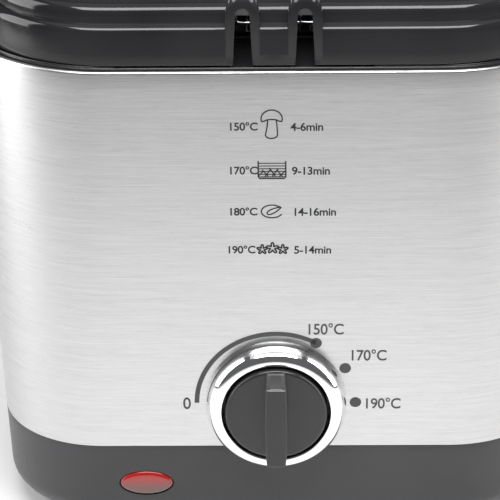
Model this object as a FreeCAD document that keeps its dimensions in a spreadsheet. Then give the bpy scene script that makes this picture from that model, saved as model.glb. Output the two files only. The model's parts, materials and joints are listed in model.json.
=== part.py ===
import FreeCAD, Part
import math
import os
import re
import Sketcher

# Deep fryer with a brushed steel shell, a dark plastic base and a hinged gloss lid.
# Millimetres. X to the right, Y to the back, Z up; the origin is under the feet, at the centre.

doc = FreeCAD.newDocument("DeepFryer")
VEC = FreeCAD.Vector

SIZES = [
    ("foot_height", 5.0, "ground clearance under the base"),
    ("foot_radius", 8.0, "rubber foot"),
    ("half_width", 101.0, "half width at the seam"),
    ("foot_x", "half_width - 24", "feet left and right of centre"),
    ("half_depth", 91.0, "half depth at the seam"),
    ("foot_y", "half_depth - 28", "feet in front of and behind the centre"),
    ("base_top", 37.0, "seam between plastic base and steel shell"),
    ("base_fillet", 9.5, "rounding under the base"),
    ("base_wall", 2.6, "plastic wall of the base"),
    ("floor_top", "foot_height + 3", "inside of the base floor"),
    ("flare", 6.0, "how much wider each side is at the top of the shell"),
    ("corner_low", 39.0, "plan corner radius at the seam"),
    ("corner_top", 52.0, "plan corner radius at the top of the shell"),
    ("shell_height", 145.0, "steel shell, seam to top edge"),
    ("sheet", 0.8, "steel sheet"),
    ("roll", 2.0, "inward roll of the top edge"),
    ("knob_z", "base_top + 18.4", "height of the dial on the front face"),
    ("bezel_inner", 19.1, "chrome ring, inner lip"),
    ("bezel_width", 5.9, "chrome ring, inner lip to outside"),
    ("bezel_radius", "bezel_inner + bezel_width", "chrome ring, outside"),
    ("notch_radius", "bezel_radius - 0.8", "round notch in the shell behind the bezel"),
    ("bezel_rise", 8.0, "chrome ring, height off the face"),
    ("dial_radius", "bezel_inner - 1.2", "turning disc"),
    ("dial_front", "bezel_rise + 1", "face of the disc off the front face"),
    ("grip_front", "dial_front + 7", "front of the grip bar off the front face"),
    ("shaft_radius", 3.0, "thermostat shaft"),
    ("lamp_x", 47.1, "lamp, left of centre"),
    ("lamp_z", "base_top - 16", "lamp height"),
    ("lamp_half_x", 9.15, "lamp lens half width"),
    ("lamp_half_z", 5.2, "lamp lens half height"),
    ("post_x", 50.0, "posts left and right of centre"),
    ("post_y", 40.0, "posts in front of and behind the centre"),
    ("post_foot", "floor_top + 6", "top of the bosses on the base floor"),
    ("pot_seat", "base_top + shell_height + 5", "seat of the pot flange on the collar"),
    ("pot_low", "base_top + 53", "underside of the pot"),
    ("plate_low", "pot_low - 5", "underside of the heater plate"),
    ("pot_wall", 1.5, "pot sheet"),
    ("pot_half_x", "half_width - 23", "pot inside at the bottom"),
    ("pot_half_y", "half_depth - 23", "pot inside at the bottom"),
    ("pot_flare", 6.0, "pot opens this much per side to the rim"),
    ("pot_corner", 26.0, "pot inside corner at the bottom"),
    ("flange", 1.2, "pot flange"),
    ("collar_low", "base_top + shell_height - 8", "bottom of the collar"),
    ("collar_top", "base_top + shell_height + 0.6", "collar ledge under the lid"),
    ("lid_low", "collar_top + 0.7", "bottom edge of the lid skirt"),
    ("lid_half_x", "half_width + flare - 3.5", "lid skirt half width"),
    ("lid_half_y", "half_depth + flare - 1.8", "lid skirt half depth"),
    ("lid_corner", "corner_top - 1.5", "lid plan corner radius"),
    ("lid_wall", 2.4, "lid wall"),
    ("shoulder_z", "lid_low + 13.9", "top of the first shoulder of the lid"),
    ("dome_z", "shoulder_z + 6.3", "top of the second shoulder of the lid"),
    ("crown", 4.0, "rise of the lid top over the second shoulder"),
    ("slot_x", 10.2, "handle slots left and right of centre"),
    ("slot_top", "dome_z - 0.5", "top of the slot opening"),
    ("wire", 1.6, "rim and handle wire radius"),
    ("slot_radius", "wire + 0.75", "rounded top of the slot"),
    ("slot_foot", "slot_radius + 0.85", "half width of the slot at the skirt edge"),
    ("hood_radius", "slot_radius + 3.45", "arched hood over each slot"),
    ("hood_top", "dome_z + 2.2", "top of the hoods"),
    ("window_x", 47.0, "window opening half width"),
    ("window_y", 27.0, "window opening half depth"),
    ("window_c", -12.0, "window centre, front of the middle"),
    ("vent_c", 38.0, "filter cover centre, behind the middle"),
    ("liner_low", "pot_seat + 3.5", "underside of the liner flange"),
    ("liner_top", "shoulder_z + 2.6", "top of the liner tray"),
    ("hinge_y", "lid_half_y + 7", "hinge axis behind the centre"),
    ("hinge_z", "lid_low + 2.7", "hinge axis height"),
    ("pin_radius", 2.0, "hinge pin"),
    ("knuckle", "pin_radius + 3.4", "hinge knuckle radius"),
    ("knuckle_in", 20.0, "inner end of each lid knuckle"),
    ("knuckle_out", "knuckle_in + 10.7", "outer end of each lid knuckle"),
    ("gland_z", "base_top - 12", "cord inlet height"),
    ("gland_bore", 3.6, "cord inlet bore radius"),
    ("basket_low", "pot_low + 14", "underside of the basket"),
    ("basket_top", "pot_seat - 13", "top of the basket mesh"),
    ("basket_x", "pot_half_x - 10", "basket half width at the bottom"),
    ("basket_y", "pot_half_y - 10", "basket half depth at the bottom"),
    ("basket_flare", "pot_flare", "basket opens this much per side"),
    ("basket_corner", "pot_corner - 4", "basket corner at the bottom"),
    ("pivot_y", "-(basket_y - 3)", "handle pivot inside the front of the basket"),
    ("pivot_z", "basket_top - 6", "handle pivot height"),
    ("grip_end", 98.0, "far end of the handle grip from its pivot"),
    ("fold_angle", "asin((pivot_z - basket_low - 6.1204) / grip_end) / 1 deg",
     "folded handle, below the horizontal"),
    ("grip_start", 50.0, "near end of the handle grip from its pivot"),
]

sheet = doc.addObject("Spreadsheet::Sheet", "Sizes")
for row, (alias, value, note) in enumerate(SIZES, 1):
    sheet.set("A%d" % row, alias)
    sheet.set("B%d" % row, "=%s" % value)
    sheet.setAlias("B%d" % row, alias)
    sheet.set("C%d" % row, note)
doc.recompute()
NAMES = set(alias for alias, value, note in SIZES)


def ex(text):
    """Prefix every size name in an expression with its spreadsheet."""
    def swap(found):
        word = found.group(0)
        return "Sizes." + word if word in NAMES else word

    return re.sub(r"\b[a-z][a-z_]*\b", swap, text)


def num(text):
    """Present value of an expression."""
    value = sheet.evalExpression(ex(text))
    return float(getattr(value, "Value", value))


def half_x(level):
    return "(half_width + flare * ((%s) - base_top) / shell_height)" % level


def half_y(level):
    return "(half_depth + flare * ((%s) - base_top) / shell_height)" % level


def corner(level):
    return "(corner_low + (corner_top - corner_low) * ((%s) - base_top) / shell_height)" % level


SHELL_TOP = "(base_top + shell_height)"
TILT = "atan(flare / shell_height)"
DOME = [("0", "7"), ("0.35 * crown", "12"), ("0.62 * crown", "19"), ("0.85 * crown", "28"), ("crown", "40")]


def new_body(label):
    body = doc.addObject("PartDesign::Body", label)
    body.Label = label
    return body


def place(body, x="0", y="0", z="0", angle="0 deg"):
    """Stand a body in its own turned frame about X."""
    spin = FreeCAD.Rotation(VEC(1, 0, 0), num(angle))
    body.Placement = FreeCAD.Placement(VEC(num(x), num(y), num(z)), spin)
    body.setExpression("Placement.Base.x", ex(x))
    body.setExpression("Placement.Base.y", ex(y))
    body.setExpression("Placement.Base.z", ex(z))
    body.setExpression("Placement.Rotation.Angle", ex(angle))


def on_face(body, x, level):
    """Put a body's frame on the sloping front face, local Z pointing out of it."""
    place(body, x, "-" + half_y(level), level, "90 deg + " + TILT)


def sketch(body, role, offset="0", up="0", tilt=""):
    sk = body.newObject("Sketcher::SketchObject", body.Label + "_sketch")
    sk.AttachmentSupport = [([f for f in body.Origin.OriginFeatures if f.Role == role][0], "")]
    sk.MapMode = "FlatFace"
    angle = num(tilt) if tilt else 0.0
    turn = FreeCAD.Rotation(VEC(1, 0, 0), angle)
    sk.AttachmentOffset = FreeCAD.Placement(VEC(0, num(up), num(offset)), turn)
    sk.setExpression("AttachmentOffset.Base.y", ex(up))
    sk.setExpression("AttachmentOffset.Base.z", ex(offset))
    if tilt:
        sk.setExpression("AttachmentOffset.Rotation.Angle", ex(tilt))
    sk.Visibility = False
    return sk


def at(sk, geo, point, x, y):
    """Hold one point of the sketch at x, y."""
    for kind, axis, text in (("DistanceX", -2, x), ("DistanceY", -1, y)):
        if text.strip() == "0":
            sk.addConstraint(Sketcher.Constraint("PointOnObject", geo, point, axis))
        else:
            index = sk.addConstraint(Sketcher.Constraint(kind, -1, 1, geo, point, num(text)))
            sk.setExpression("Constraints[%d]" % index, ex(text))


def circle(sk, x, y, radius):
    geo = sk.addGeometry(Part.Circle(VEC(num(x), num(y), 0), VEC(0, 0, 1), num(radius)))
    at(sk, geo, 3, x, y)
    index = sk.addConstraint(Sketcher.Constraint("Radius", geo, num(radius)))
    sk.setExpression("Constraints[%d]" % index, ex(radius))


def polygon(sk, points):
    first = sk.GeometryCount
    count = len(points)
    values = [VEC(num(x), num(y), 0) for x, y in points]
    for i in range(count):
        sk.addGeometry(Part.LineSegment(values[i], values[(i + 1) % count]))
    for i in range(count):
        sk.addConstraint(Sketcher.Constraint("Coincident", first + i, 2, first + (i + 1) % count, 1))
    for i, (x, y) in enumerate(points):
        at(sk, first + i, 1, x, y)


def box(sk, x_low, x_high, y_low, y_high):
    polygon(sk, [(x_low, y_low), (x_high, y_low), (x_high, y_high), (x_low, y_high)])


def rounded(sk, half_w, half_d, radius, cx="0", cy="0"):
    """Rounded rectangle about cx, cy."""
    w, d, r, x, y = num(half_w), num(half_d), num(radius), num(cx), num(cy)
    first = sk.GeometryCount
    turns = [(1, -1, -90, 0), (1, 1, 0, 90), (-1, 1, 90, 180), (-1, -1, 180, 270)]
    ends = [
        (VEC(x - w + r, y - d, 0), VEC(x + w - r, y - d, 0)),
        (VEC(x + w, y - d + r, 0), VEC(x + w, y + d - r, 0)),
        (VEC(x + w - r, y + d, 0), VEC(x - w + r, y + d, 0)),
        (VEC(x - w, y + d - r, 0), VEC(x - w, y - d + r, 0)),
    ]
    for (sx, sy, low, high), (start, end) in zip(turns, ends):
        sk.addGeometry(Part.LineSegment(start, end))
        base = Part.Circle(VEC(x + sx * (w - r), y + sy * (d - r), 0), VEC(0, 0, 1), r)
        sk.addGeometry(Part.ArcOfCircle(base, math.radians(low), math.radians(high)))
    for i in range(4):
        line = first + 2 * i
        arc = line + 1
        following = first + (2 * i + 2) % 8
        sk.addConstraint(Sketcher.Constraint("Tangent", line, 2, arc, 1))
        sk.addConstraint(Sketcher.Constraint("Tangent", arc, 2, following, 1))
        sk.addConstraint(Sketcher.Constraint("Horizontal" if i % 2 == 0 else "Vertical", line))
        if i:
            sk.addConstraint(Sketcher.Constraint("Equal", first + 1, arc))
    index = sk.addConstraint(Sketcher.Constraint("Radius", first + 1, r))
    sk.setExpression("Constraints[%d]" % index, ex(radius))
    sides = [("DistanceY", 0, "(%s) - (%s)" % (cy, half_d)), ("DistanceX", 2, "(%s) + (%s)" % (cx, half_w)),
             ("DistanceY", 4, "(%s) + (%s)" % (cy, half_d)), ("DistanceX", 6, "(%s) - (%s)" % (cx, half_w))]
    for kind, line, text in sides:
        index = sk.addConstraint(Sketcher.Constraint(kind, -1, 1, first + line, 1, num(text)))
        sk.setExpression("Constraints[%d]" % index, ex(text))


def arch(sk, x, level, radius, foot, half_foot):
    """Round-topped opening: a half circle on two straight legs down to foot."""
    cx, cy, r, low, w = num(x), num(level), num(radius), num(foot), num(half_foot)
    first = sk.GeometryCount
    base = Part.Circle(VEC(cx, cy, 0), VEC(0, 0, 1), r)
    sk.addGeometry(Part.ArcOfCircle(base, 0, math.pi))
    corners = [VEC(cx - r, cy, 0), VEC(cx - w, low, 0), VEC(cx + w, low, 0), VEC(cx + r, cy, 0)]
    for i in range(3):
        sk.addGeometry(Part.LineSegment(corners[i], corners[i + 1]))
    for a, b in ((0, 1), (1, 2), (2, 3), (3, 0)):
        sk.addConstraint(Sketcher.Constraint("Coincident", first + a, 2, first + b, 1))
    at(sk, first, 3, x, level)
    index = sk.addConstraint(Sketcher.Constraint("Radius", first, r))
    sk.setExpression("Constraints[%d]" % index, ex(radius))
    for point in (1, 2):
        index = sk.addConstraint(Sketcher.Constraint("DistanceY", -1, 1, first, point, cy))
        sk.setExpression("Constraints[%d]" % index, ex(level))
    at(sk, first + 2, 1, "(%s) - (%s)" % (x, half_foot), foot)
    at(sk, first + 2, 2, "(%s) + (%s)" % (x, half_foot), foot)


def route(sk, points, bend):
    """Open path of level and upright runs joined by tangent bends."""
    values = [VEC(num(x), num(y), 0) for x, y in points]
    radius = num(bend)
    last = len(points) - 2
    for i in range(last + 1):
        start, end = values[i], values[i + 1]
        along = (end - start).normalize()
        a = start + along * (radius if i else 0)
        b = end - along * (radius if i < last else 0)
        sk.addGeometry(Part.LineSegment(a, b))
        if i < last:
            following = (values[i + 2] - end).normalize()
            centre = b + following * radius
            left_turn = along.x * following.y - along.y * following.x > 0
            first, second = (b, end + following * radius) if left_turn else (end + following * radius, b)
            low = math.atan2(first.y - centre.y, first.x - centre.x)
            high = math.atan2(second.y - centre.y, second.x - centre.x)
            if high < low:
                high += 2 * math.pi
            sk.addGeometry(Part.ArcOfCircle(Part.Circle(centre, VEC(0, 0, 1), radius), low, high))
    for i in range(last + 1):
        line = 2 * i
        upright = abs(values[i].x - values[i + 1].x) < 1e-6
        sk.addConstraint(Sketcher.Constraint("Vertical" if upright else "Horizontal", line))
        text = points[i][0] if upright else points[i][1]
        kind = "DistanceX" if upright else "DistanceY"
        index = sk.addConstraint(Sketcher.Constraint(kind, -1, 1, line, 1, num(text)))
        sk.setExpression("Constraints[%d]" % index, ex(text))
        if i in (0, last):
            text = points[i + (1 if i else 0)][1 if upright else 0]
            kind = "DistanceY" if upright else "DistanceX"
            point = 2 if i else 1
            index = sk.addConstraint(Sketcher.Constraint(kind, -1, 1, line, point, num(text)))
            sk.setExpression("Constraints[%d]" % index, ex(text))
        if i < last:
            arc = line + 1
            start_point = sk.Geometry[arc].StartPoint
            near = 1 if (start_point - sk.Geometry[line].EndPoint).Length < 1e-6 else 2
            sk.addConstraint(Sketcher.Constraint("Tangent", line, 2, arc, near))
            sk.addConstraint(Sketcher.Constraint("Tangent", arc, 3 - near, line + 2, 1))
            index = sk.addConstraint(Sketcher.Constraint("Radius", arc, radius))
            sk.setExpression("Constraints[%d]" % index, ex(bend))


def pad(body, sk, length, back=False, both=False, taper=""):
    feature = body.newObject("PartDesign::Pad", body.Label + "_pad")
    feature.Profile = sk
    feature.Length = num(length)
    feature.setExpression("Length", ex(length))
    feature.Reversed = back
    feature.Midplane = both
    if taper:
        feature.TaperAngle = num(taper)
        feature.setExpression("TaperAngle", ex(taper))
    return feature


def pocket(body, sk, length, back=False, both=False):
    feature = body.newObject("PartDesign::Pocket", body.Label + "_pocket")
    feature.Profile = sk
    feature.Length = num(length)
    feature.setExpression("Length", ex(length))
    feature.Reversed = back
    feature.Midplane = both
    return feature


def stack(body, levels, cut=False):
    """Ruled body through rounded rectangles: (level, half width, half depth, corner)."""
    rings = []
    for level, half_w, half_d, radius in levels:
        sk = sketch(body, "XY_Plane", level)
        rounded(sk, half_w, half_d, radius)
        rings.append(sk)
    kind = "PartDesign::SubtractiveLoft" if cut else "PartDesign::AdditiveLoft"
    feature = body.newObject(kind, body.Label + "_stack")
    feature.Profile = rings[0]
    feature.Sections = rings[1:]
    feature.Ruled = True
    return feature


def inset(level, amount):
    """Shell outline at a level, drawn in by an amount."""
    less = " - (%s)" % amount
    return (level, half_x(level) + less, half_y(level) + less, corner(level) + less)


def fillet(body, base, radius, test):
    """Round the edges of base that pass the test on their bounding box."""
    doc.recompute()
    names = ["Edge%d" % (i + 1) for i, edge in enumerate(base.Shape.Edges) if test(edge.BoundBox)]
    feature = body.newObject("PartDesign::Fillet", body.Label + "_fillet")
    feature.Base = (base, names)
    feature.Radius = num(radius)
    feature.setExpression("Radius", ex(radius))
    return feature


def level_edge(height):
    value = num(height)
    return lambda bb: abs(bb.ZMin - value) < 0.02 and abs(bb.ZMax - value) < 0.02


def sweep(body, profile, path):
    feature = body.newObject("PartDesign::AdditivePipe", body.Label + "_sweep")
    feature.Profile = profile
    feature.Spine = path
    return feature


def mirrored(body, feature, role):
    body.Tip = feature
    copy = body.newObject("PartDesign::Mirrored", body.Label + "_mirror")
    copy.Originals = [feature]
    copy.MirrorPlane = ([f for f in body.Origin.OriginFeatures if f.Role == role][0], [""])
    body.Tip = copy
    return copy


def row_of(body, feature, sk, axis, length, count):
    body.Tip = feature
    copy = body.newObject("PartDesign::LinearPattern", body.Label + "_row")
    copy.Originals = [feature]
    copy.Direction = (sk, [axis])
    copy.Length = num(length)
    copy.setExpression("Length", ex(length))
    copy.Occurrences = count
    body.Tip = copy
    return copy


FOUR = [(sx, sy) for sx in ("", "-") for sy in ("", "-")]


# Brushed steel shell
shell = new_body("steel_shell")
stack(shell, [inset("base_top", "0"), inset(SHELL_TOP, "0")])
stack(shell, [inset("base_top - 0.01", "sheet"), inset(SHELL_TOP + " - sheet", "sheet")], True)
mouth = sketch(shell, "XY_Plane", SHELL_TOP + " + 1")
rounded(mouth, half_x(SHELL_TOP) + " - roll", half_y(SHELL_TOP) + " - roll", "corner_top - roll")
pocket(shell, mouth, "sheet + 3")
notch = sketch(shell, "XZ_Plane", "half_depth + flare + 2")
circle(notch, "0", "knob_z", "notch_radius")
pocket(shell, notch, "20")
screws = sketch(shell, "XZ_Plane", "-(half_depth + flare + 2)")
circle(screws, "30", "hinge_z - 21", "2.1")
circle(screws, "-30", "hinge_z - 21", "2.1")
pocket(shell, screws, "14", True)

# Plastic base with its raised tab behind the bezel
base = new_body("base_housing")
seam = sketch(base, "XY_Plane", "base_top")
rounded(seam, "half_width", "half_depth", "corner_low")
outer = pad(base, seam, "base_top - foot_height", True, False, "-" + TILT)
fillet(base, outer, "base_fillet", level_edge("foot_height"))
stack(base, [inset("base_top - 0.5", "sheet + 0.2"), inset("base_top + 4", "sheet + 0.2")])
stack(base, [inset("floor_top", "7.5"), inset("floor_top + 4", "3.4"), inset("floor_top + 9", "base_wall"),
             inset("base_top + 4.1", "base_wall")], True)
tab = sketch(base, "XZ_Plane", "half_depth - 0.3", "base_top", TILT)
circle(tab, "0", "knob_z - base_top", "notch_radius - 0.5")
pad(base, tab, "4", True)
front_holes = sketch(base, "XZ_Plane", "half_depth + 2", "base_top", TILT)
circle(front_holes, "0", "knob_z - base_top", "5.1")
rounded(front_holes, "lamp_half_x + 0.35", "lamp_half_z + 0.35", "lamp_half_z + 0.3",
        "-lamp_x", "lamp_z - base_top")
pocket(base, front_holes, "12")
rear_hole = sketch(base, "XZ_Plane", "-(half_depth + 3)")
circle(rear_hole, "0", "gland_z", "gland_bore + 2.4")
pocket(base, rear_hole, "10", True)
bosses = sketch(base, "XY_Plane", "floor_top - 0.5")
for sx, sy in FOUR:
    circle(bosses, sx + "post_x", sy + "post_y", "6")
pad(base, bosses, "post_foot - floor_top + 0.5")
floor_holes = sketch(base, "XY_Plane", "foot_height - 1")
for sx, sy in FOUR:
    circle(floor_holes, sx + "post_x", sy + "post_y", "2")
    circle(floor_holes, sx + "foot_x", sy + "foot_y", "3")
pocket(base, floor_holes, "post_foot + 2", True)
sinks = sketch(base, "XY_Plane", "foot_height - 1")
for sx, sy in FOUR:
    circle(sinks, sx + "post_x", sy + "post_y", "4.2")
pocket(base, sinks, "3.3", True)
vent = sketch(base, "XY_Plane", "foot_height - 1")
rounded(vent, "2", "18", "1.9", "-30", "0")
vent_cut = pocket(base, vent, "6", True)
row_of(base, vent_cut, vent, "H_Axis", "60", 7)

# Feet
for name, sx, sy in (("foot_front_left", "-", "-"), ("foot_front_right", "", "-"),
                     ("foot_rear_left", "-", ""), ("foot_rear_right", "", "")):
    foot = new_body(name)
    tread = sketch(foot, "XY_Plane", "0")
    circle(tread, sx + "foot_x", sy + "foot_y", "foot_radius")
    pad(foot, tread, "foot_height")
    stud = sketch(foot, "XY_Plane", "foot_height - 0.5")
    circle(stud, sx + "foot_x", sy + "foot_y", "2.9")
    stem = pad(foot, stud, "floor_top - foot_height + 0.5")
    fillet(foot, stem, "1", level_edge("0"))

# Screws up into the posts
bolts = new_body("base_screws")
heads = sketch(bolts, "XY_Plane", "foot_height + 0.4")
shanks = sketch(bolts, "XY_Plane", "foot_height + 1.8")
for sx, sy in FOUR:
    circle(heads, sx + "post_x", sy + "post_y", "3.8")
    circle(shanks, sx + "post_x", sy + "post_y", "1.6")
pad(bolts, heads, "1.8")
pad(bolts, shanks, "14")

# Posts between the base floor and the heater plate
posts = new_body("pot_posts")
tubes = sketch(posts, "XY_Plane", "post_foot")
for sx, sy in FOUR:
    circle(tubes, sx + "post_x", sy + "post_y", "4.5")
    circle(tubes, sx + "post_x", sy + "post_y", "1.66")
pad(posts, tubes, "plate_low - post_foot")

# Collar between shell and lid
collar = new_body("top_collar")
stack(collar, [inset("collar_low", "sheet + 0.3"), inset(SHELL_TOP + " - sheet - 0.2", "sheet + 0.3")])
TOP_X = half_x(SHELL_TOP)
TOP_Y = half_y(SHELL_TOP)


def collar_ring(level, drawn_in):
    """A level of the collar, drawn in from the shell's top outline."""
    return (level, TOP_X + " - " + drawn_in, TOP_Y + " - " + drawn_in, "corner_top - " + drawn_in)


ROLL_IN = "(roll + 0.2)"
stack(collar, [collar_ring(SHELL_TOP + " - sheet - 0.4", ROLL_IN), collar_ring("collar_top", ROLL_IN)])
stack(collar, [collar_ring("collar_top - 0.5", "4.5"), collar_ring("pot_seat", "15")])
bead = sketch(collar, "XY_Plane", "collar_top - 0.3")
rounded(bead, TOP_X + " - 2.4", TOP_Y + " - 2.4", "corner_top - 2.4")
rounded(bead, TOP_X + " - 3.2", TOP_Y + " - 3.2", "corner_top - 3.2")
pad(collar, bead, "0.75")
bead_gap = sketch(collar, "XY_Plane", "collar_top + 2")
box(bead_gap, "-52", "32", "-" + TOP_Y, "-(%s - 3.9)" % TOP_Y)
pocket(collar, bead_gap, "2")
hollow = sketch(collar, "XY_Plane", "collar_low - 1")
rounded(hollow, half_x("collar_low") + " - 3.4", half_y("collar_low") + " - 3.4",
        corner("collar_low") + " - 3.4")
rounded(hollow, "pot_half_x + pot_flare + 4.5", "pot_half_y + pot_flare + 4.5",
        "pot_corner + pot_flare + 4.5")
pocket(collar, hollow, "6", True)
throat = sketch(collar, "XY_Plane", "collar_low - 1")
rounded(throat, "pot_half_x + pot_flare + pot_wall + 0.7", "pot_half_y + pot_flare + pot_wall + 0.7",
        "pot_corner + pot_flare + pot_wall + 0.7")
pocket(collar, throat, "20", True)

# Frying pot
pot = new_body("inner_pot")
POT_TOP = "(pot_seat + flange)"


def pot_ring(level, extra):
    grow = "(pot_flare * ((%s) - pot_low) / (pot_seat + flange - pot_low) + (%s))" % (level, extra)
    return (level, "pot_half_x + " + grow, "pot_half_y + " + grow, "pot_corner + " + grow)


pot_mouth = sketch(pot, "XY_Plane", POT_TOP)
rounded(pot_mouth, *pot_ring(POT_TOP, "pot_wall")[1:])
POT_LEAN = "-atan(pot_flare / (pot_seat + flange - pot_low))"
wall = pad(pot, pot_mouth, "pot_seat + flange - pot_low", True, False, POT_LEAN)
fillet(pot, wall, "9", level_edge("pot_low"))
rim = sketch(pot, "XY_Plane", "pot_seat")
rounded(rim, "pot_half_x + pot_flare + 6", "pot_half_y + pot_flare + 6", "pot_corner + pot_flare + 6")
pad(pot, rim, "flange")
floor_steps = [("0", "-7.6"), ("0.8", "-4.3"), ("2.4", "-2"), ("4.6", "-0.6"), ("7.8", "0")]
stack(pot, [pot_ring("pot_low + pot_wall + " + up, extra) for up, extra in floor_steps]
      + [pot_ring(POT_TOP + " + 0.01", "0")], True)

# Heating
plate = new_body("heater_plate")
slab = sketch(plate, "XY_Plane", "plate_low")
rounded(slab, "pot_half_x - 12", "pot_half_y - 12", "pot_corner - 2")
pad(plate, slab, "pot_low - plate_low")

TUBE = "3.2"
loop = doc.addObject("Part::Torus", "element_loop")
loop.setExpression("Radius1", ex("post_y + 2"))
loop.setExpression("Radius2", TUBE)
loop.setExpression("Angle3", ex("360 deg - 2 * asin(12 / (post_y + 2))"))
loop.Placement = FreeCAD.Placement(VEC(0, 0, 0), FreeCAD.Rotation(VEC(0, 0, 1), 106))
loop.setExpression("Placement.Rotation.Angle", ex("90 deg + asin(12 / (post_y + 2))"))
loop.setExpression("Placement.Base.z", ex("plate_low - 3.3"))
legs = []
for sign, name in (("", "element_leg_right"), ("-", "element_leg_left")):
    leg = doc.addObject("Part::Cylinder", name)
    leg.Placement = FreeCAD.Placement(VEC(0, 0, 0), FreeCAD.Rotation(VEC(1, 0, 0), -90))
    leg.setExpression("Radius", TUBE)
    leg.setExpression("Height", ex("half_depth - 19 - post_y"))
    leg.setExpression("Placement.Base.x", sign + "12")
    leg.setExpression("Placement.Base.y", ex("post_y - 1"))
    leg.setExpression("Placement.Base.z", ex("plate_low - 3.3"))
    legs.append(leg)
element = doc.addObject("Part::MultiFuse", "heating_element")
element.Shapes = [loop] + legs
element.Label = "heating_element"

shield = new_body("heat_shield")
tray = sketch(shield, "XY_Plane", "plate_low - 23")
rounded(tray, "half_width - 25", "half_depth - 36", "10", "0", "-5")
for sx, sy in FOUR:
    circle(tray, sx + "post_x", sy + "post_y", "5")
pad(shield, tray, "0.8")

cutout = new_body("thermal_cutout")
can = sketch(cutout, "XY_Plane", "plate_low - 9")
circle(can, "0", "-12", "8")
pad(cutout, can, "8.9")
blades = sketch(cutout, "XY_Plane", "plate_low - 15")
for sign in ("", "-"):
    rounded(blades, "0.4", "3", "0.3", sign + "4", "-12")
pad(cutout, blades, "6.5")

# Thermostat behind the front face
stat = new_body("thermostat_body")
on_face(stat, "0", "knob_z")
case = sketch(stat, "XY_Plane", "-22")
rounded(case, "13", "12", "2")
pad(stat, case, "17.4")
bush = sketch(stat, "XY_Plane", "-5")
circle(bush, "0", "0", "4.9")
pad(stat, bush, "9.2")
well = sketch(stat, "XY_Plane", "6")
circle(well, "0", "0", "shaft_radius + 0.06")
pocket(stat, well, "16")
lugs = sketch(stat, "XY_Plane", "-28")
for sign in ("", "-"):
    rounded(lugs, "0.4", "3.1", "0.3", sign + "6", "0")
pad(stat, lugs, "6.5")

nut = new_body("thermostat_nut")
on_face(nut, "0", "knob_z")
hexagon = sketch(nut, "XY_Plane", "-0.2")
polygon(hexagon, [("7.5", "0"), ("3.75", "6.5"), ("-3.75", "6.5"),
                  ("-7.5", "0"), ("-3.75", "-6.5"), ("3.75", "-6.5")])
circle(hexagon, "0", "0", "4.96")
pad(nut, hexagon, "2.4")

BULB_Y = "(pot_half_y + 5.2)"
BULB_Z = "pot_low + 8"
capillary = new_body("thermostat_capillary")
bulb = sketch(capillary, "YZ_Plane", "17.5")
circle(bulb, "-" + BULB_Y, BULB_Z, "2.6")
pad(capillary, bulb, "44")
line = sketch(capillary, "XZ_Plane", BULB_Y)
route(line, [("8", "knob_z + 12.8"), ("8", BULB_Z), ("18", BULB_Z)], "6")
end = sketch(capillary, "XY_Plane", "knob_z + 12.8")
circle(end, "8", "-" + BULB_Y, "0.9")
sweep(capillary, end, line)

# Mains side
block = new_body("terminal_block")
foot_print = sketch(block, "XY_Plane", "floor_top")
rounded(foot_print, "20", "8", "2", "0", "half_depth - 29")
pad(block, foot_print, "14")
wells = sketch(block, "XY_Plane", "floor_top + 15")
for x in ("-12", "0.001", "12"):
    circle(wells, x, "half_depth - 32", "2.4")
pocket(block, wells, "5")

LEAD_Y = "half_depth - 25"
leads = new_body("lead_wires")
run = sketch(leads, "YZ_Plane", "6")
route(run, [(LEAD_Y, "floor_top + 14.2"), (LEAD_Y, "knob_z + 1"), ("-(half_depth - 31)", "knob_z + 1")], "7")
tip = sketch(leads, "XY_Plane", "floor_top + 14.2")
circle(tip, "6", LEAD_Y, "1.2")
front_lead = sweep(leads, tip, run)
mirrored(leads, front_lead, "YZ_Plane")
risers = sketch(leads, "XY_Plane", "floor_top + 14.2")
circle(risers, "12", LEAD_Y, "1.2")
circle(risers, "-12", LEAD_Y, "1.2")
pad(leads, risers, "plate_low - floor_top - 20.9")

gland = new_body("cord_gland")
neck = sketch(gland, "XZ_Plane", "-(half_depth - 7)")
circle(neck, "0", "gland_z", "gland_bore + 2.3")
pad(gland, neck, "15", True)
washer = sketch(gland, "XZ_Plane", "-(half_depth + 0.05)")
circle(washer, "0", "gland_z", "gland_bore + 5.4")
pad(gland, washer, "2.2", True)
sleeve = sketch(gland, "XZ_Plane", "-(half_depth - 8)")
circle(sleeve, "0", "gland_z", "gland_bore")
pocket(gland, sleeve, "20", False)

# Lamp
lens = new_body("lamp_lens")
on_face(lens, "-lamp_x", "lamp_z")
oval = sketch(lens, "XY_Plane", "-3.5")
rounded(oval, "lamp_half_x", "lamp_half_z", "lamp_half_z - 0.1")
front_pad = pad(lens, oval, "4.2")
fillet(lens, front_pad, "1.2", level_edge("0.7"))
skirt = sketch(lens, "XY_Plane", "-5")
rounded(skirt, "lamp_half_x + 1.4", "lamp_half_z + 1.4", "lamp_half_z + 1.3")
pad(lens, skirt, "1.8")

lamp = new_body("lamp_body")
on_face(lamp, "-lamp_x", "lamp_z")
holder = sketch(lamp, "XY_Plane", "-18")
rounded(holder, "9", "5", "2")
pad(lamp, holder, "12.9")
pins = sketch(lamp, "XY_Plane", "-23")
for sign in ("", "-"):
    rounded(pins, "0.4", "1.5", "0.3", sign + "4", "0")
pad(lamp, pins, "5.5")

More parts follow.
